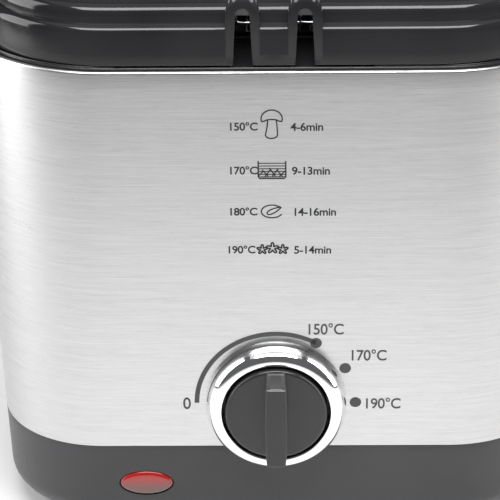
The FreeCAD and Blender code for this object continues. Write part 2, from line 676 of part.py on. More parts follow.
# Dial
bezel = new_body("knob_bezel")
on_face(bezel, "0", "knob_z")
profile = sketch(bezel, "XZ_Plane", "0")
OUT = "bezel_radius"
polygon(profile, [("bezel_inner + 0.5", "0.05"), (OUT, "0.05"), (OUT, "bezel_rise - 3.8"),
                  (OUT + " - 0.6", "bezel_rise - 2.3"), (OUT + " - 2", "bezel_rise - 1"),
                  (OUT + " - 3.8", "bezel_rise - 0.15"), ("bezel_inner + 0.6", "bezel_rise"),
                  ("bezel_inner", "bezel_rise - 0.5"), ("bezel_inner", "bezel_rise - 3"),
                  ("bezel_inner + 0.5", "bezel_rise - 4")])
turned = bezel.newObject("PartDesign::Revolution", "knob_bezel_turned")
turned.Profile = profile
turned.ReferenceAxis = (profile, ["V_Axis"])
turned.Angle = 360

dial = new_body("knob_dial")
on_face(dial, "0", "knob_z")
disc = sketch(dial, "XY_Plane", "2.6")
circle(disc, "0", "0", "dial_radius")
pad(dial, disc, "dial_front - 2.6")
bar = sketch(dial, "XY_Plane", "dial_front - 0.5")
polygon(bar, [("-3.1", "-(dial_radius - 0.5)"), ("3.1", "-(dial_radius - 0.5)"), ("3.8", "-1"),
              ("3.1", "dial_radius - 0.5"), ("-3.1", "dial_radius - 0.5"), ("-3.8", "-1")])
pad(dial, bar, "grip_front - dial_front + 0.5")
slope = sketch(dial, "YZ_Plane", "0")
polygon(slope, [("dial_radius - 0.4", "dial_front"), ("dial_radius + 5", "dial_front"),
                ("dial_radius + 5", "grip_front + 2"), ("dial_radius - 4.6", "grip_front + 2")])
pocket(dial, slope, "20", False, True)
recess = sketch(dial, "XY_Plane", "1")
circle(recess, "0", "0", "dial_radius - 1.7")
pocket(dial, recess, "4", True)
ring = sketch(dial, "XY_Plane", "4")
circle(ring, "0", "0", "dial_radius - 1.7")
circle(ring, "0", "0", "5.6")
pocket(dial, ring, "2.8", True)
socket = sketch(dial, "XY_Plane", "1")
circle(socket, "0", "0", "shaft_radius + 0.04")
pocket(dial, socket, "grip_front - 3.6", True)

shaft = new_body("thermostat_shaft")
on_face(shaft, "0", "knob_z")
stem_circle = sketch(shaft, "XY_Plane", "-9")
circle(stem_circle, "0", "0", "shaft_radius")
pad(shaft, stem_circle, "grip_front + 6.2")

# Rear hinge
bracket = new_body("hinge_bracket")
slab_side = sketch(bracket, "YZ_Plane", "0")
SLAB_LOW, SLAB_TOP = "hinge_z - 36", "hinge_z - 6.5"
polygon(slab_side, [(half_y(SLAB_LOW) + " + 0.15", SLAB_LOW), ("hinge_y + 1", SLAB_LOW),
                    ("hinge_y + 5", "hinge_z - 30"), ("hinge_y + 5", SLAB_TOP),
                    (half_y(SLAB_TOP) + " + 0.15", SLAB_TOP)])
pad(bracket, slab_side, "84", False, True)
for low in ("knuckle_out + 0.4", "-(knuckle_out + 8.4)"):
    ear = sketch(bracket, "YZ_Plane", low)
    arch(ear, "hinge_y", "hinge_z", "knuckle", "hinge_z - 7", "knuckle - 1.2")
    pad(bracket, ear, "8")
bore = sketch(bracket, "YZ_Plane", "0")
circle(bore, "hinge_y", "hinge_z", "pin_radius + 0.01")
pocket(bracket, bore, "120", False, True)
seats = sketch(bracket, "XZ_Plane", "-(hinge_y + 6)")
circle(seats, "30", "hinge_z - 21", "2.1")
circle(seats, "-30", "hinge_z - 21", "2.1")
pocket(bracket, seats, "20", True)
sinks_rear = sketch(bracket, "XZ_Plane", "-(hinge_y + 6)")
circle(sinks_rear, "30", "hinge_z - 21", "4")
circle(sinks_rear, "-30", "hinge_z - 21", "4")
pocket(bracket, sinks_rear, "4", True)

pin = new_body("hinge_pin")
rod = sketch(pin, "YZ_Plane", "0")
circle(rod, "hinge_y", "hinge_z", "pin_radius")
pad(pin, rod, "2 * (knuckle_out + 9.6)", False, True)

rear_screws = new_body("hinge_screws")
caps = sketch(rear_screws, "XZ_Plane", "-(hinge_y + 2.1)")
shank = sketch(rear_screws, "XZ_Plane", "-(hinge_y + 2.6)")
for x in ("30", "-30"):
    circle(caps, x, "hinge_z - 21", "3.7")
    circle(shank, x, "hinge_z - 21", "1.9")
pad(rear_screws, caps, "1.9", True)
pad(rear_screws, shank, "14")

# Lid
LID_BOSS_X = "(lid_half_x - 28.5)"
LID_BOSS_Y = "(lid_half_y - 38.2)"
lid = new_body("lid_shell")


def lid_ring(level, drawn_in):
    less = " - (%s)" % drawn_in
    return (level, "lid_half_x" + less, "lid_half_y" + less, "lid_corner" + less)


skirt_plan = sketch(lid, "XY_Plane", "lid_low")
rounded(skirt_plan, *lid_ring("lid_low", "0")[1:])
skirt_block = pad(lid, skirt_plan, "shoulder_z - lid_low")
fillet(lid, skirt_block, "2.9", level_edge("shoulder_z"))
riser_plan = sketch(lid, "XY_Plane", "shoulder_z - 0.5")
rounded(riser_plan, *lid_ring("shoulder_z", "3")[1:])
riser = pad(lid, riser_plan, "dome_z - shoulder_z + 0.5")
fillet(lid, riser, "3.9", level_edge("dome_z"))
stack(lid, [lid_ring("dome_z - 0.05", "6.95")] + [lid_ring("dome_z + " + up, drawn) for up, drawn in DOME])
for sign in ("", "-"):
    hood = sketch(lid, "XZ_Plane", "lid_half_y")
    arch(hood, sign + "slot_x", "hood_top - hood_radius", "hood_radius", "lid_low + 3", "hood_radius")
    pad(lid, hood, "42", True)
for low in ("knuckle_in", "-knuckle_out"):
    arm = sketch(lid, "YZ_Plane", low)
    circle(arm, "hinge_y", "hinge_z", "knuckle")
    pad(lid, arm, "knuckle_out - knuckle_in")
    web = sketch(lid, "YZ_Plane", low)
    box(web, "lid_half_y - 1.2", "hinge_y", "lid_low + 1", "hinge_z + knuckle")
    pad(lid, web, "knuckle_out - knuckle_in")
stack(lid, [lid_ring("lid_low - 0.01", "lid_wall"), lid_ring("shoulder_z - 2.2", "lid_wall")], True)
stack(lid, [lid_ring("shoulder_z - 2.3", "3 + lid_wall"), lid_ring("dome_z - 2.3", "3 + lid_wall")], True)
stack(lid, [lid_ring("dome_z - 2.35", "9.35")]
      + [lid_ring("dome_z - 2.3 + " + up, drawn + " + lid_wall") for up, drawn in DOME], True)
for sign in ("", "-"):
    slot = sketch(lid, "XZ_Plane", "lid_half_y + 2")
    arch(slot, sign + "slot_x", "slot_top - slot_radius", "slot_radius", "lid_low - 1", "slot_foot")
    pocket(lid, slot, "38")
lid_bosses = sketch(lid, "XY_Plane", "liner_low + 0.8")
for sx, sy in FOUR:
    circle(lid_bosses, sx + LID_BOSS_X, sy + LID_BOSS_Y, "4")
pad(lid, lid_bosses, "dome_z - liner_low + 0.6")
boss_bores = sketch(lid, "XY_Plane", "liner_low")
for sx, sy in FOUR:
    circle(boss_bores, sx + LID_BOSS_X, sy + LID_BOSS_Y, "1.5")
pocket(lid, boss_bores, "9", True)
sight = sketch(lid, "XY_Plane", "dome_z + crown + 2")
rounded(sight, "window_x", "window_y", "12", "0", "window_c")
rounded(sight, "26", "8", "3", "0", "vent_c")
pocket(lid, sight, "8")
eye = sketch(lid, "YZ_Plane", "0")
circle(eye, "hinge_y", "hinge_z", "pin_radius + 0.06")
pocket(lid, eye, "80", False, True)

glass = new_body("lid_window")
pane = sketch(glass, "XY_Plane", "dome_z + crown - 5.5")
rounded(pane, "window_x + 5", "window_y + 5", "17", "0", "window_c")
pad(glass, pane, "2.6")

seal = new_body("window_seal")
seal_ring = sketch(seal, "XY_Plane", "dome_z + crown - 2.9")
rounded(seal_ring, "window_x + 5", "window_y + 5", "17", "0", "window_c")
rounded(seal_ring, "window_x + 0.5", "window_y + 0.5", "12.5", "0", "window_c")
pad(seal, seal_ring, "0.58")

liner = new_body("lid_liner")
PAN_TOP = ("liner_top", "pot_half_x - 4", "pot_half_y - 4", "pot_corner")
PAN_LOW = ("liner_low + 0.4", "pot_half_x - 2", "pot_half_y - 2", "pot_corner + 2")
stack(liner, [PAN_LOW, PAN_TOP])
brim = sketch(liner, "XY_Plane", "liner_low")
rounded(brim, "pot_half_x + 10", "pot_half_y + 10", "pot_corner + 14")
pad(liner, brim, "0.8")
stack(liner, [("liner_low - 0.01", "pot_half_x - 2.8", "pot_half_y - 2.8", "pot_corner + 1.2"),
              ("liner_top - 0.8", "pot_half_x - 4.8", "pot_half_y - 4.8", "pot_corner - 0.8")], True)
sight_hole = sketch(liner, "XY_Plane", "liner_top + 1")
rounded(sight_hole, "window_x", "window_y", "12", "0", "window_c")
for x in ("-20", "-10", "0.001", "10", "20"):
    rounded(sight_hole, "1.6", "6.5", "1.5", x, "vent_c")
pocket(liner, sight_hole, "3")
passes = sketch(liner, "XZ_Plane", "lid_half_y")
for sign in ("", "-"):
    arch(passes, sign + "slot_x", "liner_top - 5", "wire + 1.8", "liner_low - 1", "wire + 1.8")
pocket(liner, passes, "44")
liner_holes = sketch(liner, "XY_Plane", "liner_low + 2")
for sx, sy in FOUR:
    circle(liner_holes, sx + LID_BOSS_X, sy + LID_BOSS_Y, "1.7")
pocket(liner, liner_holes, "3")

strip = new_body("slot_strip")
strip_box = sketch(strip, "XY_Plane", "liner_top - 1")
box(strip_box, "-19", "19", "-(lid_half_y - 6.8)", "-(lid_half_y - 5.6)")
pad(strip, strip_box, "2.4")

gasket = new_body("lid_gasket")
lip = sketch(gasket, "XY_Plane", "pot_seat + flange + 0.2")
rounded(lip, "pot_half_x + 10", "pot_half_y + 10", "pot_corner + 14")
rounded(lip, "pot_half_x + 6.6", "pot_half_y + 6.6", "pot_corner + 8")
pad(gasket, lip, "liner_low - pot_seat - flange - 0.2")
opening = sketch(gasket, "XY_Plane", "liner_low + 1")
box(opening, "-18", "18", "-(pot_half_y + 20)", "-(pot_half_y - 2)")
pocket(gasket, opening, "6")

lid_bolts = new_body("lid_screws")
lid_heads = sketch(lid_bolts, "XY_Plane", "liner_low - 1.7")
lid_shanks = sketch(lid_bolts, "XY_Plane", "liner_low - 0.6")
for sx, sy in FOUR:
    circle(lid_heads, sx + LID_BOSS_X, sy + LID_BOSS_Y, "3.1")
    circle(lid_shanks, sx + LID_BOSS_X, sy + LID_BOSS_Y, "1.45")
pad(lid_bolts, lid_heads, "1.68")
pad(lid_bolts, lid_shanks, "8.4")

cover = new_body("filter_cover")
cap = sketch(cover, "XY_Plane", "dome_z + crown + 0.02")
rounded(cap, "30", "11", "5", "0", "vent_c")
cap_pad = pad(cover, cap, "1.8")
fillet(cover, cap_pad, "0.8", level_edge("dome_z + crown + 1.82"))
key = sketch(cover, "XY_Plane", "dome_z + crown - 2")
rounded(key, "25.8", "7.8", "2.8", "0", "vent_c")
pad(cover, key, "2.1")
grille = sketch(cover, "XY_Plane", "dome_z + crown + 4")
rounded(grille, "1.2", "6.2", "1.1", "-22", "vent_c")
grille_cut = pocket(cover, grille, "8")
row_of(cover, grille_cut, grille, "H_Axis", "44", 12)

pad_filter = new_body("filter_pad")
felt = sketch(pad_filter, "XY_Plane", "liner_top + 0.1")
rounded(felt, "25", "7.2", "2.5", "0", "vent_c")
pad(pad_filter, felt, "dome_z + crown - liner_top - 2.2")

# Basket
tub = new_body("basket_mesh")


def tub_ring(level, less):
    grow = " + basket_flare * ((%s) - basket_low) / (basket_top - basket_low) - (%s)" % (level, less)
    return (level, "basket_x" + grow, "basket_y" + grow, "basket_corner" + grow)


stack(tub, [tub_ring("basket_low", "0"), tub_ring("basket_top", "0")])
stack(tub, [tub_ring("basket_low + 1", "1"), tub_ring("basket_top + 0.01", "1")], True)

hoop = new_body("basket_rim")
hoop_path = sketch(hoop, "XY_Plane", "basket_top - 1")
OUTSET = "basket_flare + wire + 0.1"
rounded(hoop_path, "basket_x + " + OUTSET, "basket_y + " + OUTSET, "basket_corner + " + OUTSET)
hoop_round = sketch(hoop, "XZ_Plane", "0")
circle(hoop_round, "basket_x + " + OUTSET, "basket_top - 1", "wire")
sweep(hoop, hoop_round, hoop_path)

runners = new_body("basket_feet")
run_path = sketch(runners, "XZ_Plane", "30")
LOW_WIRE = "pot_low + pot_wall + wire + 0.05"
route(run_path, [("-34", "basket_low - 0.05"), ("-34", LOW_WIRE),
                 ("34", LOW_WIRE), ("34", "basket_low - 0.05")], "4")
run_round = sketch(runners, "XY_Plane", "basket_low - 0.05")
circle(run_round, "-34", "-30", "wire")
runner = sweep(runners, run_round, run_path)
mirrored(runners, runner, "XZ_Plane")

clip = new_body("handle_bracket")
clip_plate = sketch(clip, "XZ_Plane", "-pivot_y + 5.5")
rounded(clip_plate, "17", "6.3", "2", "0", "pivot_z - 1.3")
pad(clip, clip_plate, "1", False)
for low in ("12.6", "-14.4"):
    ear_plate = sketch(clip, "YZ_Plane", low)
    circle(ear_plate, "pivot_y", "pivot_z", "4")
    pad(clip, ear_plate, "1.8")
    ear_web = sketch(clip, "YZ_Plane", low)
    box(ear_web, "pivot_y - 5.8", "pivot_y", "pivot_z - 4", "pivot_z + 4")
    pad(clip, ear_web, "1.8")
clip_eye = sketch(clip, "YZ_Plane", "0")
circle(clip_eye, "pivot_y", "pivot_z", "wire + 0.06")
pocket(clip, clip_eye, "40", False, True)

bail = new_body("handle_wire")
place(bail, "0", "pivot_y", "pivot_z", "-fold_angle * 1 deg")
arms = sketch(bail, "XZ_Plane", "wire")
circle(arms, "slot_x", "0", "wire")
circle(arms, "-slot_x", "0", "wire")
pad(bail, arms, "grip_start + 13", True)
for low in ("slot_x - wire", "-(slot_x + 5.6)"):
    trunnion = sketch(bail, "YZ_Plane", low)
    circle(trunnion, "0", "0", "wire")
    pad(bail, trunnion, "wire + 5.6")

grip = new_body("handle_grip")
place(grip, "0", "pivot_y", "pivot_z", "-fold_angle * 1 deg")
palm = sketch(grip, "XZ_Plane", "-grip_start")
rounded(palm, "15", "6", "5.8")
pad(grip, palm, "grip_end - grip_start", True)
sockets = sketch(grip, "XZ_Plane", "-(grip_start - 1)")
circle(sockets, "slot_x", "0", "wire + 0.04")
circle(sockets, "-slot_x", "0", "wire + 0.04")
pocket(grip, sockets, "14", False)

doc.recompute()

# Output: one STEP file per named piece
os.makedirs("parts", exist_ok=True)
pieces = [o for o in doc.Objects if o.TypeId == "PartDesign::Body"] + [element]
for item in doc.Objects:
    bad = [word for word in item.State if word in ("Invalid", "Error")]
    if bad:
        raise RuntimeError("%s is %s" % (item.Name, bad))
for piece in pieces:
    if piece.Shape.isNull() or not piece.Shape.isValid():
        raise RuntimeError("%s has no valid shape" % piece.Label)
    if not piece.Shape.Solids:
        raise RuntimeError("%s has no solid" % piece.Label)
for piece in pieces:
    piece.Shape.exportStep("parts/%s.step" % piece.Label)
    box_of = piece.Shape.BoundBox
    print("%-22s %2d solids %9.1f mm3  x %.1f %.1f  y %.1f %.1f  z %.1f %.1f" % (
        piece.Label, len(piece.Shape.Solids), piece.Shape.Volume,
        box_of.XMin, box_of.XMax, box_of.YMin, box_of.YMax, box_of.ZMin, box_of.ZMax))
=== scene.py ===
import json
import math

import bmesh
import bpy
import numpy as np
from mathutils import Matrix, Vector


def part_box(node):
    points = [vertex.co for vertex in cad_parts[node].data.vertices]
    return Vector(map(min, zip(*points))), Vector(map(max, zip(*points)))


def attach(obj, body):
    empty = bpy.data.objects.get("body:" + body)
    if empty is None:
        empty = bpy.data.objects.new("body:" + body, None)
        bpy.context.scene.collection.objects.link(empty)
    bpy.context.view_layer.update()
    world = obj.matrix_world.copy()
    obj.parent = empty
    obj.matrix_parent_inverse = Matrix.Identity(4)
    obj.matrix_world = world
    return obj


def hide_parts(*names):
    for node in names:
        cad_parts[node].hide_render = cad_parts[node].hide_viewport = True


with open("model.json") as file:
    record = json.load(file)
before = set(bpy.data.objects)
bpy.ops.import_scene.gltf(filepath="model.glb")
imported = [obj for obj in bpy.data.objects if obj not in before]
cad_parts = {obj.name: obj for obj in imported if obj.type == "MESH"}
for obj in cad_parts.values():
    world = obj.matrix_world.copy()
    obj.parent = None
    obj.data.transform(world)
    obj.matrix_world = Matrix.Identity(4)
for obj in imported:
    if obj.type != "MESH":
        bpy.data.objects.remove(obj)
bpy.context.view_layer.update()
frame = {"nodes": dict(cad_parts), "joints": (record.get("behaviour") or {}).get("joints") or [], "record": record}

# ---------------------------------------------------------------- sizes, in metres

MM = 0.001
SHELL_LOW, SHELL_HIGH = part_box("steel_shell")
BASE_LOW, BASE_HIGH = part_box("base_housing")
LID_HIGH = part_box("lid_shell")[1]
POT_LOW, POT_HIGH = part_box("inner_pot")
TUB_LOW, TUB_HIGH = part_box("basket_mesh")
SEAM = SHELL_LOW.z
SHELL_TOP = SHELL_HIGH.z
HALF_TOP = np.array([SHELL_HIGH.x, SHELL_HIGH.y])
HALF_SEAM = np.array([BASE_HIGH.x, BASE_HIGH.y])
SLOPE = (HALF_TOP[0] - HALF_SEAM[0]) / (SHELL_TOP - SEAM)
CORNER_SEAM, CORNER_TOP = 39 * MM, 52 * MM
TILT = math.atan(SLOPE)
KNOB_Z = 55.4 * MM
NOTCH_R = 24.2 * MM
LAMP_X, LAMP_Z = -47.1 * MM, 21 * MM
GLAND_Z = 25 * MM
HINGE_SCREW_X, HINGE_SCREW_Y, HINGE_SCREW_Z = 30 * MM, 94 * MM, 165 * MM
KNUCKLE_R, KNUCKLE_WIDE = 5.4 * MM, 10.7 * MM
FOLD_DEGREES = 36.2
LID_HALF = np.array([103.5, 95.2]) * MM
LID_CORNER = 50.5 * MM
LID_EDGE = 183.3 * MM
SHOULDER = 197.2 * MM
DOME_EDGE = 203.5 * MM
CROWN = LID_HIGH.z
SLOT_X = 10.2 * MM
HOOD_R = 5.8 * MM
HOOD_TOP = 205.7 * MM
WINDOW = np.array([47.0, 27.0]) * MM
WINDOW_Y = -12 * MM
VENT_Y = 38 * MM
JOINTS = {joint["name"]: joint for joint in frame["joints"]}


def half_at(level):
    """Half width and half depth of the tapering body at a height, in a straight line from seam to top."""
    grow = SLOPE * (np.asarray(level) - SEAM)
    return HALF_SEAM[0] + grow, HALF_SEAM[1] + grow


def corner_at(level):
    """Plan corner radius at a height, in a straight line from seam to top."""
    return CORNER_SEAM + (CORNER_TOP - CORNER_SEAM) * (np.asarray(level) - SEAM) / (SHELL_TOP - SEAM)


# ---------------------------------------------------------------- surfaces

def outline(arc_steps=14, flat_steps=16):
    """Coefficients of a rounded rectangle: x = ax (half - r) + bx r and y = ay (half - r) + by r.

    The four corners are quarter circles, and the four sides are straight runs between them.
    """
    parts = []
    for start in (-90, 0, 90, 180):
        turn = np.radians(start + np.linspace(0, 90, arc_steps + 1))
        sx = 1 if start in (-90, 0) else -1
        sy = 1 if start in (0, 90) else -1
        parts.append(np.stack([np.full_like(turn, sx), np.cos(turn), np.full_like(turn, sy), np.sin(turn)], 1))
        along = np.linspace(1, -1, flat_steps + 1)[1:-1]
        side = {-90: (1, 1, -along, 0), 0: (along, 0, 1, 1),
                90: (-1, -1, along, 0), 180: (-along, 0, -1, -1)}[start]
        parts.append(np.stack(np.broadcast_arrays(*side), 1).astype(float))
    return np.concatenate(parts)


def rings(levels, centre=(0, 0), steps=(14, 16)):
    """Rounded rectangles stacked in height: each level is (z, half width, half depth, corner radius)."""
    c = outline(*steps)
    z, hx, hy, r = [np.asarray(v, float)[:, None] for v in np.array(levels, float).T]
    x = centre[0] + c[:, 0] * (hx - r) + c[:, 1] * r
    y = centre[1] + c[:, 2] * (hy - r) + c[:, 3] * r
    return np.stack([x, y, np.broadcast_to(z, x.shape)], -1)


def smoothed(mesh, sharp=38, weld=True):
    """Weld points that coincide, drop faces with no area, and shade smooth up to the sharp angle."""
    if weld:
        work = bmesh.new()
        work.from_mesh(mesh)
        bmesh.ops.remove_doubles(work, verts=work.verts, dist=1e-7)
        bmesh.ops.dissolve_degenerate(work, edges=work.edges, dist=1e-8)
        work.to_mesh(mesh)
        work.free()
    mesh.shade_smooth()
    mesh.set_sharp_from_angle(angle=math.radians(sharp))
    return mesh


def grid_mesh(name, points, closed_u=True, closed_v=False, cap_low=False, cap_high=False, sharp=38):
    """Quads over a grid of points (v, u), closed round u or v, with a flat cap on either end if asked."""
    rows, cols = points.shape[:2]
    index = np.arange(rows * cols).reshape(rows, cols)
    nxt_u = np.roll(index, -1, 1) if closed_u else index[:, 1:]
    here = index if closed_u else index[:, :-1]
    up, up_next = np.roll(here, -1, 0), np.roll(nxt_u, -1, 0)
    quads = np.stack([here, nxt_u, up_next, up], -1)
    quads = quads if closed_v else quads[:-1]
    faces = quads.reshape(-1, 4).tolist()
    if cap_low:
        faces.append(index[0, ::-1].tolist())
    if cap_high:
        faces.append(index[-1].tolist())
    mesh = bpy.data.meshes.new(name)
    mesh.from_pydata(points.reshape(-1, 3).tolist(), [], faces)
    return smoothed(mesh, sharp)


def read(items, field, width, kind):
    """One field of a mesh's vertices, loops or polygons as an array."""
    out = np.empty(len(items) * width, kind)
    items.foreach_get(field, out)
    return out


def joined(name, meshes, sharp=38):
    """One mesh from several, their vertices and faces laid end to end."""
    verts, corners, counts, start = [], [], [], 0
    for mesh in meshes:
        verts.append(read(mesh.vertices, "co", 3, float).reshape(-1, 3))
        corners.append(start + read(mesh.loops, "vertex_index", 1, np.int32))
        counts.append(read(mesh.polygons, "loop_total", 1, np.int32))
        start += len(mesh.vertices)
        bpy.data.meshes.remove(mesh)
    faces = np.split(np.concatenate(corners), np.cumsum(np.concatenate(counts))[:-1])
    out = bpy.data.meshes.new(name)
    out.from_pydata(np.concatenate(verts).tolist(), [], [face.tolist() for face in faces])
    return smoothed(out, sharp, False)


def turned(name, profile, steps=96, sharp=38):
    """A profile of (radius, height) carried round the local Z axis; equal first and last points close it."""
    radius, height = np.array(profile, float).T
    turn = np.linspace(0, 2 * math.pi, steps, endpoint=False)
    points = np.stack([radius[:, None] * np.cos(turn), radius[:, None] * np.sin(turn),
                       np.broadcast_to(height[:, None], (len(radius), steps))], -1)
    if profile[0][0] == profile[-1][0] and profile[0][1] == profile[-1][1]:
        return grid_mesh(name, points[:-1], closed_v=True, sharp=sharp)
    return grid_mesh(name, points, cap_low=radius[0] > 1e-6, cap_high=radius[-1] > 1e-6, sharp=sharp)


def tubes(name, paths, radius, sides=8, closed=False, caps=True):
    """Round wires: each path's points get a ring of the radius, square to the path's direction.

    paths has the shape (wires, points, 3); the ring stands on two vectors across the tangent.
    """
    paths = np.asarray(paths, float)
    if closed:
        tangent = np.roll(paths, -1, 1) - np.roll(paths, 1, 1)
    else:
        tangent = np.gradient(paths, axis=1)
    tangent /= np.linalg.norm(tangent, axis=-1, keepdims=True)
    flat = np.abs(tangent[..., 2:3]) < 0.9
    helper = np.where(flat, [0.0, 0.0, 1.0], [1.0, 0.0, 0.0])
    if np.any(~flat):
        helper = np.broadcast_to(np.where(np.all(flat), [0.0, 0.0, 1.0], [0.6, 0.8, 0.013]), tangent.shape)
    across = np.cross(tangent, helper)
    across /= np.linalg.norm(across, axis=-1, keepdims=True)
    other = np.cross(across, tangent)
    turn = np.linspace(0, 2 * math.pi, sides, endpoint=False)[:, None]
    ring = (paths[:, :, None] + radius * (np.cos(turn) * across[:, :, None] + np.sin(turn) * other[:, :, None]))
    wires, count = paths.shape[:2]
    index = np.arange(wires * count * sides).reshape(wires, count, sides)
    a = index if closed else index[:, :-1]
    b = np.roll(index, -1, 1) if closed else index[:, 1:]
    quads = np.stack([a, b, np.roll(b, -1, 2), np.roll(a, -1, 2)], -1).reshape(-1, 4).tolist()
    if caps and not closed:
        quads += index[:, 0].tolist() + index[:, -1, ::-1].tolist()
    mesh = bpy.data.meshes.new(name)
    mesh.from_pydata(ring.reshape(-1, 3).tolist(), [], quads)
    return smoothed(mesh, 50, False)


def oval_stack(name, levels, steps=72, sharp=60):
    """Ellipses stacked in height: each level is (height, half width, half depth) in millimetres."""
    height, wide, deep = np.array(levels, float).T[:, :, None] * MM
    turn = np.linspace(0, 2 * math.pi, steps, endpoint=False)
    level = np.broadcast_to(height, (len(levels), steps))
    points = np.stack([wide * np.cos(turn), deep * np.sin(turn), level], -1)
    return grid_mesh(name, points, cap_low=True, cap_high=True, sharp=sharp)


def arch_prism(name, x, top, radius, foot, half_foot, y_front, y_back, flare=0.0, ease=0.0):
    """A round-topped arch drawn in X and Z and carried along Y, with eased front edges."""
    turn = np.linspace(0, math.pi, 25)
    arc = np.stack([radius * np.cos(turn), top - radius + radius * np.sin(turn)], 1)
    sweep = np.linspace(0, 1, 7)
    leg_x = half_foot + flare * (1 - np.sqrt(np.clip(1 - (1 - sweep) ** 2, 0, 1)))
    leg_z = foot + flare * sweep
    right = np.stack([leg_x, leg_z], 1) if flare else np.array([[half_foot, foot]])
    left = right[::-1] * [-1, 1]
    section = np.concatenate([right, arc, left])
    middle = np.array([0, (foot + top) / 2])
    depth = [(0, ease), (0.3 * ease, 0.3 * ease), (ease, 0)] if ease else [(0, 0)]
    rows = []
    for back, drawn in depth + [(abs(y_back - y_front), 0)]:
        away = section - middle
        shrink = 1 - drawn / np.linalg.norm(away, axis=1, keepdims=True)
        flat = middle + away * shrink
        rows.append(np.stack([x + flat[:, 0], np.full(len(flat), y_front + back), flat[:, 1]], 1))
    return grid_mesh(name, np.array(rows)[::-1], cap_low=True, cap_high=True)


def raise_object(name, mesh):
    """An object that shows a mesh or curve, linked to the scene."""
    obj = bpy.data.objects.new(name, mesh)
    bpy.context.scene.collection.objects.link(obj)
    return obj


def carve(obj, cutter_mesh, operation="DIFFERENCE", sharp=38):
    """Cut a closed mesh out of a piece, or join it on, and keep the result as the piece's own mesh."""
    cutter = raise_object("cutter", cutter_mesh)
    step = obj.modifiers.new("carve", "BOOLEAN")
    step.operation = operation
    step.solver = "EXACT"
    step.object = cutter
    depsgraph = bpy.context.evaluated_depsgraph_get()
    result = bpy.data.meshes.new_from_object(obj.evaluated_get(depsgraph))
    obj.modifiers.clear()
    obj.data = result
    bpy.data.objects.remove(cutter)
    result.shade_smooth()
    result.set_sharp_from_angle(angle=math.radians(sharp))


def settle(obj, body, slot, stands_for=(), material=None):
    """Give a piece its body, its slot's finish or another material, and the CAD nodes it stands for."""
    obj.data.materials.clear()
    obj.data.materials.append(material or FINISH[slot])
    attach(obj, body)
    if stands_for:
        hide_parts(*stands_for)


def moved(mesh, matrix):
    """The same mesh, its points carried by a matrix."""
    mesh.transform(matrix)
    return mesh


def face_frame(x, level):
    """Local X right, Y up the front face and Z out of it, standing on the sloping face at x and a height."""
    up = Vector((0, -math.sin(TILT), math.cos(TILT)))
    out = Vector((0, -math.cos(TILT), -math.sin(TILT)))
    place = Matrix((Vector((1, 0, 0)), up, out)).transposed().to_4x4()
    place.translation = Vector((x, -half_at(level)[1], level))
    return place


# ---------------------------------------------------------------- materials

def new_material(name):
    """A material with its nodes, its links and its principled shader."""
    material = bpy.data.materials.new(name)
    material.use_nodes = True
    shader = material.node_tree.nodes["Principled BSDF"]
    return material, material.node_tree.nodes, material.node_tree.links, shader


def noise(nodes, links, scale, stretch=(1, 1, 1), detail=4.0, rough=0.55):
    """Noise on Object coordinates, scale per metre, stretched per axis."""
    place = nodes.new("ShaderNodeTexCoord")
    mapping = nodes.new("ShaderNodeMapping")
    mapping.inputs["Scale"].default_value = stretch
    texture = nodes.new("ShaderNodeTexNoise")
    texture.inputs["Scale"].default_value = scale
    texture.inputs["Detail"].default_value = detail
    texture.inputs["Roughness"].default_value = rough
    links.new(place.outputs["Object"], mapping.inputs["Vector"])
    links.new(mapping.outputs["Vector"], texture.inputs["Vector"])
    return texture.outputs["Fac"]


def remap(nodes, links, value, low, high, to_low, to_high):
    """A value's range low to high, stretched to another range."""
    span = nodes.new("ShaderNodeMapRange")
    span.inputs["From Min"].default_value = low
    span.inputs["From Max"].default_value = high
    span.inputs["To Min"].default_value = to_low
    span.inputs["To Max"].default_value = to_high
    links.new(value, span.inputs["Value"])
    return span.outputs["Result"]


def tinted(nodes, links, value, dark, light):
    """A colour between dark and light, chosen by a value from 0 to 1."""
    mix = nodes.new("ShaderNodeMix")
    mix.data_type = "RGBA"
    mix.inputs[6].default_value = (*dark, 1)
    mix.inputs[7].default_value = (*light, 1)
    links.new(value, mix.inputs[0])
    return mix.outputs[2]


def bump(nodes, links, shader, height, strength, distance):
    """Fine relief on the shader; distance is in metres."""
    ridge = nodes.new("ShaderNodeBump")
    ridge.inputs["Strength"].default_value = strength
    ridge.inputs["Distance"].default_value = distance
    links.new(height, ridge.inputs["Height"])
    links.new(ridge.outputs["Normal"], shader.inputs["Normal"])


def brushed_steel():
    """Sheet with short horizontal brush marks: two fine noises squeezed in height, each its own length."""
    material, nodes, links, shader = new_material("brushed_shell_steel")
    fine = noise(nodes, links, 90, (1.0, 1.0, 40.0), 3.0, 0.6)
    broad = noise(nodes, links, 44, (0.8, 0.8, 56.0), 3.0, 0.6)
    both = nodes.new("ShaderNodeMath")
    both.operation = "ADD"
    links.new(fine, both.inputs[0])
    links.new(broad, both.inputs[1])
    links.new(tinted(nodes, links, remap(nodes, links, both.outputs[0], 0.7, 1.3, 0, 1),
                     (0.47, 0.47, 0.47), (0.57, 0.57, 0.57)), shader.inputs["Base Color"])
    links.new(remap(nodes, links, fine, 0.3, 0.7, 0.26, 0.35), shader.inputs["Roughness"])
    shader.inputs["Metallic"].default_value = 1.0
    bump(nodes, links, shader, both.outputs[0], 0.035, 0.0001)
    return material


